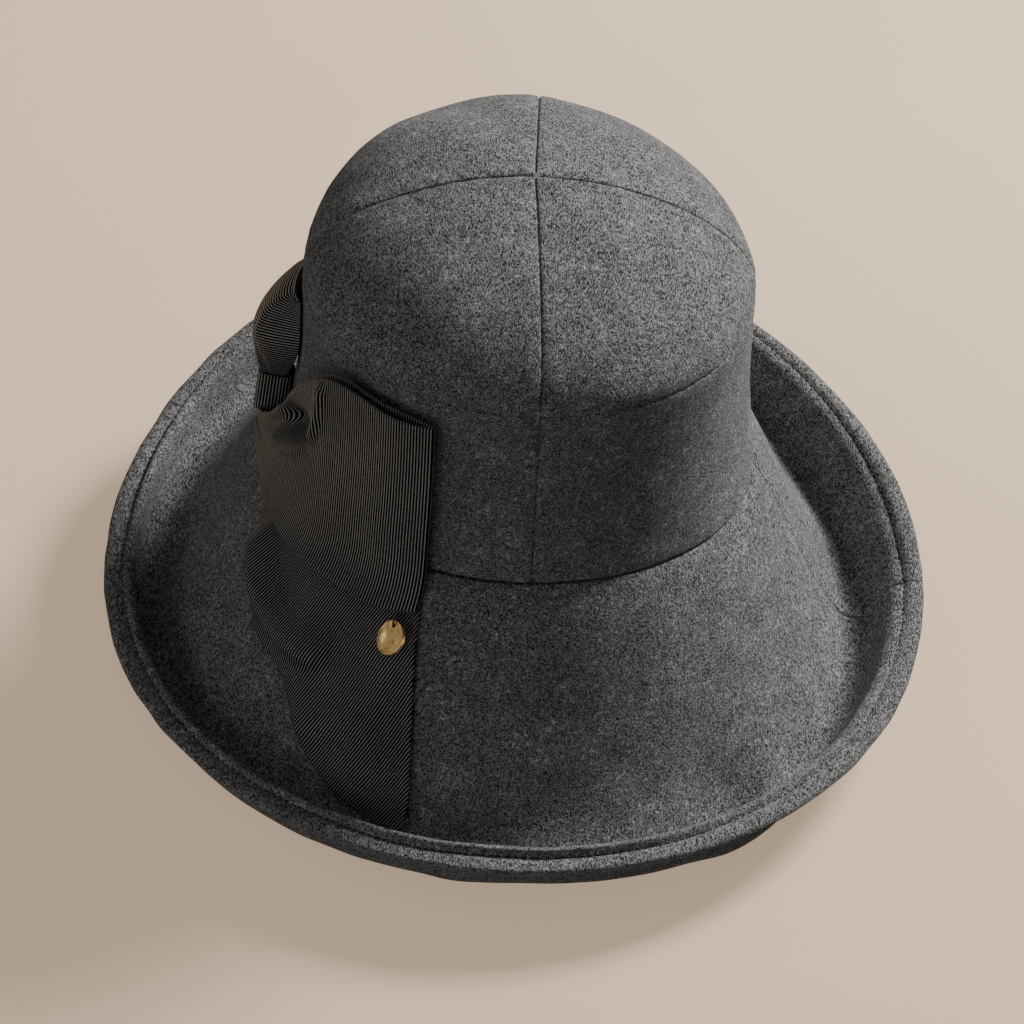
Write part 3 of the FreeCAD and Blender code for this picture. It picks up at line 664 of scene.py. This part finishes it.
def front_loop():
    """The front loop: out from the knot, round its fold, and back inside to the knot."""
    tree = tree_of(["bow_front_loop"])
    first, last = azimuths("bow_front_loop")
    low, high = span(["bow_front_loop"], 2)
    shares = np.linspace(0.012, 0.988, 110)
    rows = np.linspace(0.006, 0.994, 64)
    outer, inner, zs = [], [], []
    for s in shares:
        phi = blend(first, last, s)
        z0, z1 = heights_at(tree, phi, low, high)
        zs.append(blend(z0, z1, rows))
        outer.append([wall_radius(tree, phi, z) for z in zs[-1]])
        inner.append([inner_radius(tree, phi, z) for z in zs[-1]])
    zs, outer, inner = (smooth(filled(np.array(t))) for t in (zs, outer, inner))
    phis = np.repeat(blend(first, last, shares)[:, None], len(rows), 1)
    s, w = shares[:, None], rows[None, :]
    # small folds fan out from the gather; the ribbon's top rolls over a deep pocket
    fan = np.zeros_like(zs)
    for place, width, height, reach in ((0.30, 0.06, 0.9, 0.30), (0.52, 0.05, -0.8, 0.26),
                                        (0.14, 0.05, -0.7, 0.22), (0.42, 0.05, 0.6, 0.2)):
        fan += height * MM * bump(w, place, width) * np.exp(-(s / reach) ** 2)
    sink = near(phis, zs, [(-68, 22), (-62, 27), (-57, 30)], 5.5 * MM)
    rim = near(phis, zs, [(-72, 11), (-66, 14), (-60, 19), (-55, 28), (-52, 38), (-50.5, 48),
                          (-50, 58)], 3.0 * MM)
    wall = near(phis, zs, [(-66, 30), (-60, 36), (-56, 44)], 6.0 * MM)
    fan += (3.0 * rim - 9.5 * sink - 1.2 * wall) * MM
    ribbon_out = points(phis, outer - RIBBON / 2 + fan, zs)
    ribbon_in = points(phis, inner + RIBBON / 2 - 5.6 * MM * sink, zs)
    fold = []
    middle = (ribbon_out[-1] + ribbon_in[-1]) / 2
    half = (ribbon_out[-1] - ribbon_in[-1]) / 2
    along = ribbon_out[-1] - ribbon_out[-4]
    along /= np.linalg.norm(along, axis=-1, keepdims=True)
    deep = np.linalg.norm(half, axis=-1, keepdims=True)
    for t in np.linspace(0, math.pi, 9)[1:-1]:
        fold.append(middle + half * math.cos(t) + along * deep * 0.9 * math.sin(t))
    grid = np.concatenate((ribbon_out, np.array(fold), ribbon_in[::-1]))
    piece = ribbon("bow_loop_front", grid, RIBBON_WIDTH * rows, len(ribbon_out) + 12)
    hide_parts("bow_front_loop")
    return piece


def filled(table):
    """Fills the odd missed ray from its neighbours along the row."""
    out = table.copy()
    for row in out:
        bad = np.isnan(row)
        if bad.all():
            continue
        row[bad] = np.interp(np.where(bad)[0], np.where(~bad)[0], row[~bad])
    return out


CHARM_AT = [(-30, -20), (-27, -40)]  # where the charm lies on the tail


def tail():
    """The tail: from under the front loop down over the brim to its slanted end."""
    tree = tree_of(["bow_tail"])
    first, last = azimuths("bow_tail")
    low, high = span(["bow_tail"], 2)
    angles = np.linspace(first + 0.01, last - 0.003, 120)
    bottom, top = np.array([heights_at(tree, a, low, high) for a in angles]).T
    heel = angles[int(np.argmax(top))]
    shares = np.linspace(0, 1, 110)
    rows = np.linspace(0.004, 0.996, 64)
    low_at = blend(angles[0], angles[-1], shares)
    high_at = blend(angles[0], heel, shares)
    low_z = smooth(np.interp(low_at, angles, bottom)[:, None].repeat(2, 1), 1.5)[:, 0]
    high_z = np.interp(high_at, angles, top)
    phis = blend(low_at[:, None], high_at[:, None], rows)
    zs = blend(low_z[:, None], high_z[:, None], rows)
    rs = [[wall_radius(tree, p, z) for p, z in zip(*pz)] for pz in zip(phis, zs)]
    rs = smooth(filled(np.array(rs)))
    s, w = shares[:, None], rows[None, :]
    # folds stand up off the brim between the places where the tail lies on it
    lift = 8.0 * near(phis, zs, [(-64, -29), (-54, -37), (-46, -40), (-38, -38)], 6.5 * MM)
    lift += 5.0 * near(phis, zs, [(-43, -74), (-35, -62), (-27, -52)], 7.0 * MM)
    lift += 1.2 * near(phis, zs, [(-86, -16), (-78, -34), (-68, -50)], 5.0 * MM)
    lift += 4.2 * np.clip((s - 0.72) / 0.2, 0, 1) ** 2
    lift *= 1 - near(phis, zs, CHARM_AT, 12.0 * MM)
    curl = np.clip((s - 0.91) / 0.07, 0, 1)
    lift = lift * (1 - curl) - 0.5 * curl
    lift *= MM * np.clip(w / 0.08, 0, 1)
    grid = points(phis, rs - RIBBON / 2 + lift, zs)
    # flat pattern: the brim's slope unrolled as a cone, so that the ribs stay straight
    k = 0.66  # share of a full turn that the cone takes
    flat = np.stack((rs / k * np.cos(k * phis), rs / k * np.sin(k * phis)), -1)
    turn = k * math.radians(-45) + math.pi - math.radians(16)
    rib = np.array((math.cos(turn), math.sin(turn)))
    along, over_it = flat @ np.array((-rib[1], rib[0])), flat @ rib
    if along[-1].mean() < along[0].mean():
        along = -along
    # lay the sheet out again in lines that run with the ribs, edge to edge
    lines, places = [], np.arange(len(rows))
    marks = np.arange(along.min(), along.max(), RIB / 5)
    marks = np.round(marks / (RIB / 5)) * (RIB / 5)
    for mark in marks:
        at = np.array([np.interp(mark, along[:, j], np.arange(len(shares)), -9, 999)
                       for j in places])
        inside = np.where((at >= 0) & (at <= len(shares)))[0]
        if len(inside) > 3:
            columns = np.linspace(inside[0], inside[-1], 44)
            lines.append((mark, np.interp(columns, inside, at[inside]), columns))
    marks = np.array([line[0] for line in lines])
    a, b = (np.array([line[i] for line in lines]) for i in (1, 2))
    grid = sample(grid, a, b)
    across = sample(over_it[..., None], a, b)[..., 0]
    uv = np.stack((np.broadcast_to(marks[:, None], across.shape), across), -1)
    relief = np.broadcast_to(ribs(marks)[:, None], across.shape).copy()
    relief[:, [0, -1]] = 0
    piece = thick_sheet("bow_tail_end", grid, uv, 0.75 * MM, relief)
    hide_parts("bow_tail")
    return piece


def hat_radius(phi, z):
    """Radius of the wool at a height above the valley, from the smoothed skins."""
    band = band_skin.rz(np.array([phi]))[0]
    slope = top_skin.rz(np.array([phi]))[0][:VALLEY + 1]
    line = np.concatenate((band, slope[2:]))
    order = np.argsort(line[:, 1])
    return float(np.interp(z, line[order, 1], line[order, 0]))


SEWN_EASE = 0.3 * MM  # between two pieces sewn to each other
KNOT_AT = math.radians(-93)
KNOT_Z = SEAM_FRONT - 5.0 * MM
KNOT_WALL = 1.0 * MM
KNOT_EASE = 0.6 * MM  # between the wrap and the ribbon in it
KNOT_HEIGHT = 11.0 * MM
WRAP_WIDTH = 15.5 * MM  # the wrap runs on behind the front loop
# the back loop: "lift" is how far it bulges, "full" where, "pinch" its width in the knot
BACK = {"length": 58 * MM, "width": 54 * MM, "angle": math.radians(76), "lift": 18.5 * MM,
        "full": 0.60, "lip": 12 * MM, "foot_lip": 1.0 * MM, "share": 0.4, "pinch": 10 * MM,
        "knot": 12.6 * MM, "foot": 6.35 * MM}


def back_point(length, side, lift):
    """A place so far along the back loop and so far to its front side, off the crown."""
    a = BACK["angle"]
    around = 1.0 / (hat_radius(KNOT_AT, KNOT_Z) + BACK["lift"] / 2)
    phi = KNOT_AT + (-length * math.cos(a) + side * math.sin(a)) * around
    z = KNOT_Z + length * math.sin(a) + side * math.cos(a)
    return point(phi, hat_radius(phi, z) + lift, z)


def back_loop():
    """The back loop: up and back from the knot, over its fold and down again."""
    laid = SEWN_EASE + KNOT_WALL + KNOT_EASE + RIBBON / 2
    rows = np.linspace(0, 1, 44)

    def column(share, outer):
        wide = math.sin(math.pi / 2 * min(1.0, max(0.0, share - 0.2) / 0.5))
        half = blend(BACK["pinch"] / 2, BACK["width"] / 2, wide)
        past = max(0.0, share - BACK["full"]) / (1 - BACK["full"])
        swell = blend(BACK["knot"], BACK["lift"], wide) * math.cos(math.pi / 2 * past) ** 0.6
        length = blend(BACK["foot"], BACK["length"], share)
        lip = blend(BACK["foot_lip"], BACK["lip"], wide)
        out = []
        for w in rows:
            turn = math.pi / 2 * min(1.0, w / BACK["share"])
            rest = max(0.0, w - BACK["share"]) / (1 - BACK["share"])
            side = half - lip * (1 - math.cos(turn)) - (2 * half - lip) * rest
            if outer:
                high = max(math.sin(turn) - 0.25 * rest * rest * wide, 0.12)
                lift = max(laid + 1.5 * RIBBON, blend(laid, swell, high))
                # the lip's free edge comes down on the wool and closes the loop in front
                edge = max(0.0, 1 - w / 0.3) * wide
                lift = blend(lift, 1.0 * MM, edge) if share < 1 else laid + 0.75 * RIBBON
                side += 3.0 * MM * edge
                # the crease that starts at the knot, and the one where the lip turns in
                crease = math.exp(-((w - 0.22 - 0.25 * share) / 0.05) ** 2)
                crease *= math.sin(math.pi * min(1.0, share / 0.8)) ** 0.8
                lift -= 2.2 * MM * crease
                side -= 1.0 * MM * crease
            else:
                lift = laid
                side -= 7.0 * MM * wide * (1 - share) * (1 - w)
            out.append(back_point(length, side, lift))
        return out

    shares = np.linspace(0, 0.93, 34)
    grid = [column(s, True) for s in [*shares, 0.96, 0.985, 1.0]]
    grid += [column(s, False) for s in shares[::-1]]
    grid = np.array(grid)[:, ::-1]
    piece = ribbon("bow_loop_back", grid, RIBBON_WIDTH * rows, len(grid) - 25)
    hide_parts("bow_back_loop")
    return piece


def knot():
    """The short wrap of ribbon round the foot of the back loop."""
    foot = back_point(BACK["foot"], 0, 0)
    top = back_point(BACK["foot"] + KNOT_HEIGHT, 0, 0)
    up = (top - foot).normalized()
    out = Vector((math.sin(KNOT_AT), -math.cos(KNOT_AT), 0))
    side = out.cross(up).normalized()
    out = up.cross(side)
    half = BACK["pinch"] / 2 + RIBBON + KNOT_EASE + KNOT_WALL / 2
    low, high = 0.6 * MM, BACK["knot"] + RIBBON / 2 + KNOT_EASE + 0.6 * MM
    ups = np.linspace(KNOT_HEIGHT - 0.1 * MM - WRAP_WIDTH, KNOT_HEIGHT - 0.1 * MM, 18)
    grid = []
    for t in np.linspace(0, 2 * math.pi, 73):
        c, s = math.cos(t), math.sin(t)
        x = half * math.copysign(abs(c) ** 0.55, c)
        y = (low + high) / 2 + (high - low) / 2 * math.copysign(abs(s) ** 0.55, s)
        grid.append([foot + side * x + out * y + up * h for h in ups])
    grid = np.array(grid)
    piece = ribbon("bow_wrap", grid, 0.01 + ups - ups[0], thickness=0.8 * MM)
    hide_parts("bow_knot")
    return piece


# ---- inside of the crown ----
# the linings and the band as they were cut: width, length, area and what holds them;
# then how uneven they are
INSIDE_CUTS = {
    "lining_tip": (0.24, 0.28, 0.0325, TIPS[:1], 0.5 * MM),
    "lining_side": (0.075, 0.60, 0.045, SIDES, 0.4 * MM),
    "sweatband": (0.034, 0.60, 0.0197, SIDES, 0.08 * MM),
}


def lining_line(phi):
    """The tip's lining from its middle down, at one angle round the crown."""
    out = []
    for angle in np.linspace(math.radians(88.5), math.radians(5), 60):
        way = (point(phi, math.cos(angle), math.sin(angle)) - point(phi, 0, 0)).normalized()
        hit = tip_tree.ray_cast(point(phi, 0, TIP_CENTRE), way)[0]
        if hit:
            out.append((radius(hit), hit.z))
    return resampled([(0.0, out[0][1])] + out, np.linspace(0, 1, 44))


def band_line(name, count):
    """A function that reads a band from its top edge down, at one angle."""
    tree, (low, high) = tree_of([name]), span([name], 2)

    def line(phi):
        zs = [z for z in np.linspace(high, low, 80) if inner_radius(tree, phi, z) > 0]
        zs = np.linspace(zs[0], zs[-1], count)
        return np.array([(inner_radius(tree, phi, z), z) for z in zs])
    return line


tip_tree = tree_of(["lining_tip"])
LINES = {"lining_tip": lining_line, "lining_side": band_line("lining_side", 40),
         "sweatband": band_line("sweatband", 20)}


def inside_piece(name):
    """The lining of the tip or of the side, or the sweatband over the brim seam."""
    phis = np.linspace(0, 2 * math.pi, 145)
    table = np.array([LINES[name](p) for p in phis[:-1]])
    table = np.concatenate((table, table[:1]))
    table[..., 0] = filled(table[..., 0])
    grid = points(phis[:, None], table[..., 0], table[..., 1])
    uv = np.stack(np.broadcast_arrays(arc(grid, 0)[:, -1:], arc(grid, 1)), -1)
    wide, long, area, rests, soft = INSIDE_CUTS[name]
    grid = grid + normals_of(grid) * ripple(grid, 12 * MM, 40 * MM, soft, 5)[..., None]
    piece = grid_object("inside_" + name, grid, uv=uv, flip=True)
    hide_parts(name)
    return piece


# ---- charm and thread ----
def closed_tube(name, line, r, body, sides=10):
    """A round thread along a closed line of points."""
    verts, faces = [], []
    n = len(line)
    up = Vector((0.3, 0.2, 1)).normalized()
    for i, p in enumerate(line):
        j = (i + 1) % n
        ahead = (line[j] - line[i - 1]).normalized()
        a = ahead.cross(up).normalized()
        b = ahead.cross(a)
        for k in range(sides):
            t = 2 * math.pi * k / sides
            verts.append(tuple(p + (a * math.cos(t) + b * math.sin(t)) * r))
            beside = (k + 1) % sides
            faces.append((i * sides + k, j * sides + k, j * sides + beside, i * sides + beside))
    return new_piece(name, verts, faces, body)


def joint(name):
    return next(j for j in frame["record"]["behaviour"]["joints"] if j["name"] == name)


def charm_thread():
    sewn = Vector(joint("thread_swing")["pos_m"])
    hole = Vector(joint("charm_turn")["pos_m"])
    across = Vector(joint("charm_turn")["axis"])
    wide = 2.05 * MM  # clears the charm's rim over its whole turn
    line = []
    for k in range(40):
        t = 2 * math.pi * k / 40
        drop = (1 - math.cos(t)) / 2
        line.append(sewn + (hole - sewn) * drop
                    + across * wide * math.sin(t) * math.sin(t / 2) ** 1.5)
    piece = closed_tube("charm_loop", line, 0.3 * MM, "thread")
    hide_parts("charm_thread")
    return piece


# ---- materials ----
def material(name):
    m = bpy.data.materials.new(name)
    m.use_nodes = True
    return m, m.node_tree, m.node_tree.nodes["Principled BSDF"]


def plug(tree, target, values):
    """Sets the inputs of a node to values, or links them to other nodes."""
    for key, value in values.items():
        if isinstance(value, bpy.types.NodeSocket):
            tree.links.new(value, target.inputs[key])
        else:
            target.inputs[key].default_value = value


def node(tree, kind, inputs=None, **settings):
    made = tree.nodes.new("ShaderNode" + kind)
    for key, value in settings.items():
        setattr(made, key, value)
    plug(tree, made, inputs or {})
    return made


def here(tree):
    return node(tree, "TexCoord").outputs["Object"]


def ramp(tree, fac, stops):
    made = node(tree, "ValToRGB", {"Fac": fac})
    elements = made.color_ramp.elements
    while len(elements) < len(stops):
        elements.new(0.5)
    for e, (position, value) in zip(elements, stops):
        e.position = position
        e.color = (*value, 1) if hasattr(value, "__len__") else (value, value, value, 1)
    return made.outputs["Color"]


def noise(tree, where, scale, detail=2.0, roughness=0.5):
    inputs = {"Vector": where, "Scale": scale, "Detail": detail, "Roughness": roughness}
    return node(tree, "TexNoise", inputs).outputs["Fac"]


def mix(tree, fac, a, b, how="MIX"):
    return node(tree, "Mix", {0: fac, 6: a, 7: b}, data_type="RGBA", blend_type=how).outputs[2]


def math_node(tree, how, a, b=0.0):
    return node(tree, "Math", {0: a, 1: b}, operation=how).outputs[0]


def times(tree, a, b):
    return math_node(tree, "MULTIPLY", a, b)


def plus(tree, a, b):
    return math_node(tree, "ADD", a, b)


def bumped(tree, height, strength, distance, under=None):
    """A bumped normal, over another one if it is given."""
    inputs = {"Height": height, "Strength": strength, "Distance": distance}
    if under:
        inputs["Normal"] = under
    return node(tree, "Bump", inputs).outputs["Normal"]


def flat_xy(tree):
    """The flat place on a ribbon or a lining: X along it, Y across."""
    uv = node(tree, "UVMap", uv_map="flat").outputs["UV"]
    return node(tree, "SeparateXYZ", {"Vector": uv}).outputs


def wave(tree, how, place, pitch):
    return math_node(tree, how, times(tree, place, 2 * math.pi / pitch))


def wool_material():
    """Fulled cloth of dyed and undyed fibres: a heather of dark and light flecks."""
    m, tree, shader = material("wool")
    where = here(tree)
    fine = noise(tree, where, 1500, 2.5, 0.7)
    middle = noise(tree, where, 480, 2.0, 0.6)
    broad = noise(tree, where, 75, 2.0, 0.5)
    fibres = None
    for turn, seed in ((0.3, 0.0), (1.2, 3.0), (2.1, 7.0), (2.9, 11.0)):
        turned = node(tree, "Mapping", {"Vector": where, "Rotation": (0.4 * turn, turn, turn),
                                        "Location": (seed, seed, seed),
                                        "Scale": (2500, 620, 1900)}).outputs["Vector"]
        strand = ramp(tree, noise(tree, turned, 1.0, 1.0, 0.5), [(0.56, 0.0), (0.68, 1.0)])
        fibres = strand if fibres is None else mix(tree, 1.0, fibres, strand, "LIGHTEN")
    grain = plus(tree, times(tree, fine, 0.60), times(tree, middle, 0.28))
    grain = plus(tree, grain, times(tree, broad, 0.12))
    ground = ramp(tree, grain, [(0.41, 0.005), (0.47, 0.022), (0.53, 0.070), (0.57, 0.20),
                                (0.61, 0.72)])
    cloud = ramp(tree, noise(tree, where, 170, 3.0, 0.6), [(0.35, 0.66), (0.65, 1.36)])
    ground = mix(tree, 1.0, ground, cloud, "MULTIPLY")
    colour = mix(tree, times(tree, fibres, 0.75), ground, (0.55, 0.55, 0.55, 1))
    nap = plus(tree, times(tree, fine, 0.7), times(tree, fibres, 0.3))
    nap = plus(tree, nap, times(tree, middle, 0.6))
    plug(tree, shader, {
        "Base Color": colour, "Normal": bumped(tree, nap, 0.8, 0.5 * MM), "Roughness": 0.95,
        "Specular IOR Level": 0.15, "Sheen Weight": 0.12, "Sheen Roughness": 0.5,
        "Sheen Tint": (0.8, 0.81, 0.84, 1)})
    return m


def grosgrain_material(name, dark, light, pitch=RIB, gathered=None):
    """Ribbed ribbon: each rib is a fat weft under fine warp, with plain woven edges; its colour
    paints shade into the grooves and a highlight along the crests.
    """
    m, tree, shader = material(name)
    flat, place = flat_xy(tree), here(tree)
    rib = plus(tree, times(tree, wave(tree, "COSINE", flat["X"], pitch), -0.5), 0.5)
    warp = wave(tree, "SINE", flat["Y"], 0.32 * MM)
    grain = noise(tree, place, 1100, 2.0)
    middle = [(a + b) * 0.22 for a, b in zip(dark, light)]
    # the colour follows the ribs: painted shade in the grooves and a painted highlight on the
    # crests
    colour = ramp(tree, rib, [(0.30, dark), (0.62, middle), (0.88, light)])
    patch = ramp(tree, noise(tree, place, 28, 2.0), [(0.3, 0.85), (0.7, 1.1)])
    colour = mix(tree, 1.0, colour, patch, "MULTIPLY")
    speck = ramp(tree, grain, [(0.35, 0.75), (0.65, 1.2)])
    if gathered is not None:
        # the ribs close up where the ribbon is gathered
        away = node(tree, "VectorMath", {0: place, 1: gathered}, operation="DISTANCE")
        closed = ramp(tree, away.outputs["Value"], [(0.012, 0.85), (0.032, 0.0)])
        even = [0.5 * a + 0.24 * b for a, b in zip(dark, light)]
        colour = mix(tree, closed, colour, (*even, 1))
    colour = mix(tree, 1.0, colour, speck, "MULTIPLY")
    height = plus(tree, rib, times(tree, warp, 0.05))
    plug(tree, shader, {
        "Base Color": colour, "Normal": bumped(tree, height, 0.7, 0.25 * MM), "Roughness": 0.5,
        "Specular IOR Level": ramp(tree, rib, [(0.4, 0.0), (0.85, 0.35)])})
    return m


def lining_material():
    """Fine twill with a soft satin shine."""
    m, tree, shader = material("lining")
    flat = flat_xy(tree)
    wale = wave(tree, "SINE", plus(tree, flat["X"], flat["Y"]), 0.6 * MM)
    colour = ramp(tree, noise(tree, here(tree), 30, 3.0), [(0.3, (0.010, 0.010, 0.011)),
                                                           (0.7, (0.017, 0.016, 0.017))])
    plug(tree, shader, {
        "Base Color": colour, "Normal": bumped(tree, wale, 0.35, 0.1 * MM), "Roughness": 0.38,
        "Specular IOR Level": 0.45})
    return m


def canvas_material():
    m, tree, shader = material("interlining")
    weave = node(tree, "TexBrick", {"Vector": here(tree), "Scale": 900.0}).outputs["Fac"]
    colour = ramp(tree, weave, [(0.0, (0.35, 0.33, 0.30)), (1.0, (0.22, 0.21, 0.19))])
    plug(tree, shader, {"Base Color": colour, "Roughness": 0.9})
    return m


def brass_material():
    """Pale gold plate, slightly dished, with fine wear and dulled patches."""
    m, tree, shader = material("pale_gold")
    place = here(tree)
    cloud = noise(tree, place, 300, 3.0)
    dished = bumped(tree, noise(tree, place, 160, 1.0), 0.6, 1.2 * MM)
    plug(tree, shader, {
        "Base Color": ramp(tree, cloud, [(0.3, (0.90, 0.62, 0.25)), (0.7, (0.98, 0.75, 0.38))]),
        "Roughness": ramp(tree, noise(tree, place, 900, 2.0), [(0.3, 0.27), (0.7, 0.37)]),
        "Normal": bumped(tree, cloud, 0.08, 0.03 * MM, dished), "Metallic": 1.0})
    return m


def thread_material():
    m, tree, shader = material("thread")
    twist = noise(tree, here(tree), 3000, 1.0)
    plug(tree, shader, {
        "Base Color": ramp(tree, twist, [(0.3, 0.006), (0.7, 0.022)]),
        "Normal": bumped(tree, twist, 0.6, 0.1 * MM), "Roughness": 0.7})
    return m


WOOL = wool_material()
for piece in wool:
    piece.data.materials.append(WOOL)

# where the folds of the front loop meet
GATHER = tuple(point(math.radians(-64), 0.128, SEAM_FRONT + 31 * MM))
# the near-black grooves are painted shade and the pale crests a painted highlight on a black
# ribbon
GROSGRAIN = grosgrain_material("grosgrain", (0.0003, 0.0003, 0.0003), (0.40, 0.40, 0.40),
                               gathered=GATHER)
# the ribbons of the bow, all of grosgrain
for piece in (front_loop(), tail(), back_loop(), knot()):
    piece.data.materials.append(GROSGRAIN)

LINING = lining_material()
# the sweatband's ribs also get painted shade in the grooves and a painted highlight on the crests
BAND = grosgrain_material("sweatband", (0.006, 0.006, 0.006), (0.028, 0.027, 0.026), 1.0 * MM)
for piece in map(inside_piece, INSIDE_CUTS):
    piece.data.materials.append(BAND if piece.name == "inside_sweatband" else LINING)

THREAD = thread_material()
charm_thread().data.materials.append(THREAD)
topstitching().data.materials.append(THREAD)
disc = frame["nodes"]["charm_disc"]
disc.data.materials.clear()
disc.data.materials.append(brass_material())
canvas().data.materials.append(canvas_material())


# ---- floor, light and camera ----
def floor(height, half=30.0):
    """A wide, pale floor; it sends no light back, which would tint the grey cloth."""
    m, tree, shader = material("paper")
    tone = ramp(tree, noise(tree, here(tree), 3.0, 3.0), [(0.3, (0.84, 0.62, 0.43)),
                                                          (0.7, (0.89, 0.665, 0.465))])
    plug(tree, shader, {"Base Color": tone, "Emission Color": tone, "Emission Strength": 0.5,
                        "Roughness": 0.9})
    mesh = bpy.data.meshes.new("floor")
    corners = [(x * half, y * half, height) for x, y in ((-1, -1), (1, -1), (1, 1), (-1, 1))]
    mesh.from_pydata(corners, [], [(0, 1, 2, 3)])
    mesh.materials.append(m)
    piece = linked("floor", mesh)
    piece.visible_diffuse = False
    piece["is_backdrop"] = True


def light(name, place, aim, size, power, colour):
    data = bpy.data.lights.new(name, "AREA")
    data.shape = "DISK"
    data.size = size
    data.energy = power
    data.color = colour
    lamp = linked(name, data)
    lamp.location = place
    lamp.rotation_euler = (Vector(aim) - Vector(place)).to_track_quat("-Z", "Y").to_euler()


def lights():
    """A key from behind on the right, soft fill in front, and a glint for the charm."""
    light("key", (1.13, 0.88, 1.11), (0, 0, 0.08), 0.6, 37, (1.0, 0.985, 0.96))
    light("top", (-0.5, -0.9, 2.2), (0, 0, 0.08), 2.0, 1.0, (1.0, 0.99, 0.97))
    light("front", (-0.9, -2.0, 0.55), (0, 0, 0.12), 1.4, 5.0, (1.0, 0.98, 0.95))
    light("glint", (-1.14, 0.01, 0.57), (-0.05, -0.10, 0.08), 0.25, 0.5, (1.0, 0.96, 0.90))
    world = bpy.data.worlds.new("room")
    bpy.context.scene.world = world
    world.use_nodes = True
    plug(world.node_tree, world.node_tree.nodes["Background"],
         {"Color": (1.0, 0.98, 0.95, 1), "Strength": 0.07})


CAMERA_TURN = 3.07  # degrees to the left of centre front
CAMERA_HEIGHT = 38.0  # degrees above level
CAMERA_ROLL = 3.27
CAMERA_DISTANCE = 2.287
CAMERA_LENS = 205.8
CAMERA_AIM = (-0.0028, -0.0123, 0.0654)


def camera():
    data = bpy.data.cameras.new("camera")
    data.lens = CAMERA_LENS
    data.sensor_width = 36
    data.clip_start, data.clip_end = 0.05, 20
    cam = linked("camera", data)
    bpy.context.scene.camera = cam
    a, e = math.radians(CAMERA_TURN), math.radians(CAMERA_HEIGHT)
    ahead = Vector((math.sin(a) * math.cos(e), math.cos(a) * math.cos(e), -math.sin(e)))
    turn = ahead.to_track_quat("-Z", "Y").to_matrix()
    turn = turn @ Matrix.Rotation(math.radians(CAMERA_ROLL), 3, "Z")
    cam.matrix_world = Matrix.Translation(Vector(CAMERA_AIM) - ahead * CAMERA_DISTANCE) \
        @ turn.to_4x4()


bpy.context.view_layer.update()
floor(min(0.0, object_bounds()[0][2]))
lights()
camera()
bpy.context.view_layer.update()
